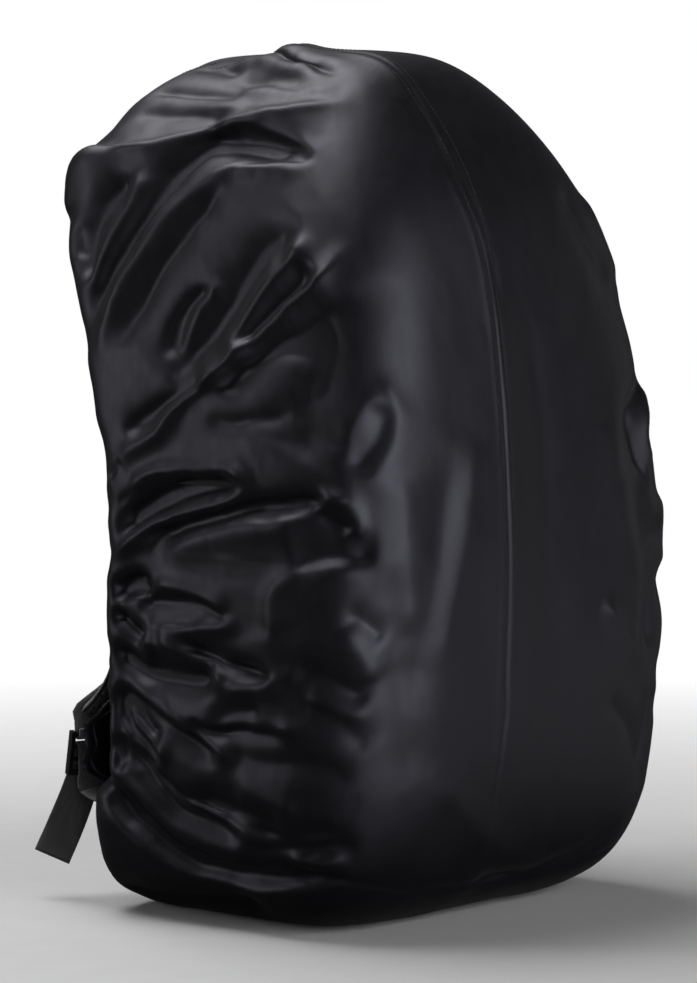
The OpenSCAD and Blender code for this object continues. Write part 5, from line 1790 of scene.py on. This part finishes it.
# ---------------------------------------------------------------- CAD nodes that keep their shape
# material, bevel width (0 for none) and nodes
CAD_PARTS = [
    (M_PLASTIC, 0.45, "cord_lock_body cord_lock_plunger ladder_lock_left ladder_lock_right"
                      " sternum_buckle_plug sternum_buckle_socket"),
    (M_PLASTIC, 0.3, "sternum_slider_left sternum_slider_right"),
    (M_SLIDER, 0.3, "zip_slider_left zip_slider_right"),
    (M_SHEET, 0, "frame_sheet"),
    (M_ALU, 0, "frame_stays"),
]
for mat, bevel_width, names in CAD_PARTS:
    for name in names.split():
        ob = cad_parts[name]
        ob.data.materials.clear()
        ob.data.materials.append(mat)
        if bevel_width:
            bevel = ob.modifiers.new("edge", "BEVEL")
            bevel.width = bevel_width * MM
            bevel.segments = 2
            bevel.limit_method = "ANGLE"
            bevel.angle_limit = math.radians(40)


# ---------------------------------------------------------------- floor, lights, camera (metres)
def build_floor():
    half = 6.0
    mesh = bpy.data.meshes.new("floor")
    mesh.from_pydata([(-half, -half, 0), (half, -half, 0), (half, half, 0), (-half, half, 0)],
                     [], [(0, 1, 2, 3)])
    floor = bpy.data.objects.new("floor", mesh)
    bpy.context.collection.objects.link(floor)
    floor.location.z = -0.0004
    g = Shader("floor_pale")
    base = g.ramp(g.noise(scale=40.0, rough=0.5), (0.3, (0.80, 0.80, 0.80)),
                  (0.7, (0.82, 0.82, 0.82)))
    # pale to the camera; what it throws back on the bag is held down, less so in front of it
    held = g.add("ShaderNodeMixRGB")
    place = g.split(g.add("ShaderNodeNewGeometry").outputs["Position"])
    g.feed(g.remap(place[1], source=(-0.10, -0.45), target=(0.07, 0.66)), held.inputs[1])
    g.feed(g.add("ShaderNodeLightPath").outputs["Is Camera Ray"], held.inputs[0])
    g.feed(base, held.inputs[2])
    g.finish(base=held.outputs[0], rough=0.9, spec=0.0)
    # lit evenly where the lamps fall off, so that it meets the backdrop
    distance = g.add("ShaderNodeVectorMath")
    distance.operation = "LENGTH"
    g.feed(g.add("ShaderNodeNewGeometry").outputs["Position"], distance.inputs[0])
    far = g.remap(distance.outputs["Value"], source=(0.35, 1.3), target=(0.0, 1.0))
    glow = g.add("ShaderNodeEmission")
    glow.inputs["Color"].default_value = (1, 1, 1, 1)
    glow.inputs["Strength"].default_value = 1.0
    seen = g.add("ShaderNodeLightPath").outputs["Is Camera Ray"]
    blend = g.add("ShaderNodeMixShader")
    g.feed(g.math("MULTIPLY", far, seen), blend.inputs[0])
    g.feed(g.principled.outputs[0], blend.inputs[1])
    g.feed(glow.outputs[0], blend.inputs[2])
    output = next(node for node in g.tree.nodes if node.type == "OUTPUT_MATERIAL")
    g.feed(blend.outputs[0], output.inputs["Surface"])
    mesh.materials.append(g.material)


def build_world():
    """White to the camera, a dim cool grey to everything else."""
    world = bpy.data.worlds.new("studio")
    bpy.context.scene.world = world
    world.use_nodes = True
    tree = world.node_tree
    tree.nodes.clear()
    seen = tree.nodes.new("ShaderNodeLightPath").outputs["Is Camera Ray"]
    mix = tree.nodes.new("ShaderNodeMixShader")
    tree.links.new(seen, mix.inputs[0])
    for i, color, strength in ((1, (0.55, 0.57, 0.62, 1), 0.016), (2, (1, 1, 1, 1), 1.0)):
        background = tree.nodes.new("ShaderNodeBackground")
        background.inputs["Color"].default_value = color
        background.inputs["Strength"].default_value = strength
        tree.links.new(background.outputs[0], mix.inputs[i])
    output = tree.nodes.new("ShaderNodeOutputWorld")
    tree.links.new(mix.outputs[0], output.inputs["Surface"])


def area_light(name, at, target, size, energy):
    light = bpy.data.lights.new(name, "AREA")
    light.shape = "RECTANGLE"
    light.size, light.size_y = size
    light.energy = energy
    light.color = (1, 1, 1)
    ob = bpy.data.objects.new(name, light)
    bpy.context.collection.objects.link(ob)
    ob.location = at
    ob.rotation_euler = (Vector(target) - Vector(at)).to_track_quat("-Z", "Y").to_euler()


def build_camera():
    azimuth, elevation = math.radians(-48.782), math.radians(3.436)
    back = Vector((math.sin(azimuth) * math.cos(elevation),
                   -math.cos(azimuth) * math.cos(elevation), math.sin(elevation)))
    right = Vector((math.cos(azimuth), math.sin(azimuth), 0))
    up = back.cross(right)
    target = Vector((0, MID_Y * MM, 0.27))
    distance, shift_right, shift_up = 2.4, 0.003298, -0.010236
    place = target + distance * back + shift_right * right + shift_up * up
    camera = bpy.data.cameras.new("camera")
    ob = bpy.data.objects.new("camera", camera)
    bpy.context.collection.objects.link(ob)
    turn = Matrix((right, up, back)).transposed()
    ob.matrix_world = Matrix.Translation(place) @ turn.to_4x4()
    camera.sensor_fit = "AUTO"
    camera.sensor_width = 36.0
    camera.lens = 137.209807
    camera.clip_end = 50
    bpy.context.scene.camera = ob


build_floor()
build_world()
area_light("key_front", at=(-0.22, -2.75, 0.62), target=(0.0, 0.0, 0.22), size=(2.1, 2.2),
           energy=54)
area_light("top", at=(-0.22, 0.78, 2.1), target=(-0.05, 0.05, 0.4), size=(1.8, 1.3), energy=33)
area_light("left_strip", at=(-1.75, 1.9, 0.75), target=(0.0, 0.0, 0.2), size=(0.35, 1.3),
           energy=7.5)
area_light("rim_right", at=(2.5, -0.5, 0.6), target=(0.1, 0.0, 0.3), size=(0.25, 1.4),
           energy=1.2)
area_light("camera_fill", at=(-1.85, -1.95, 0.42), target=(0.0, 0.0, 0.2), size=(0.7, 1.3),
           energy=5.5)
build_camera()
bpy.context.scene.view_settings.view_transform = "Standard"
bpy.context.scene.view_settings.look = "None"
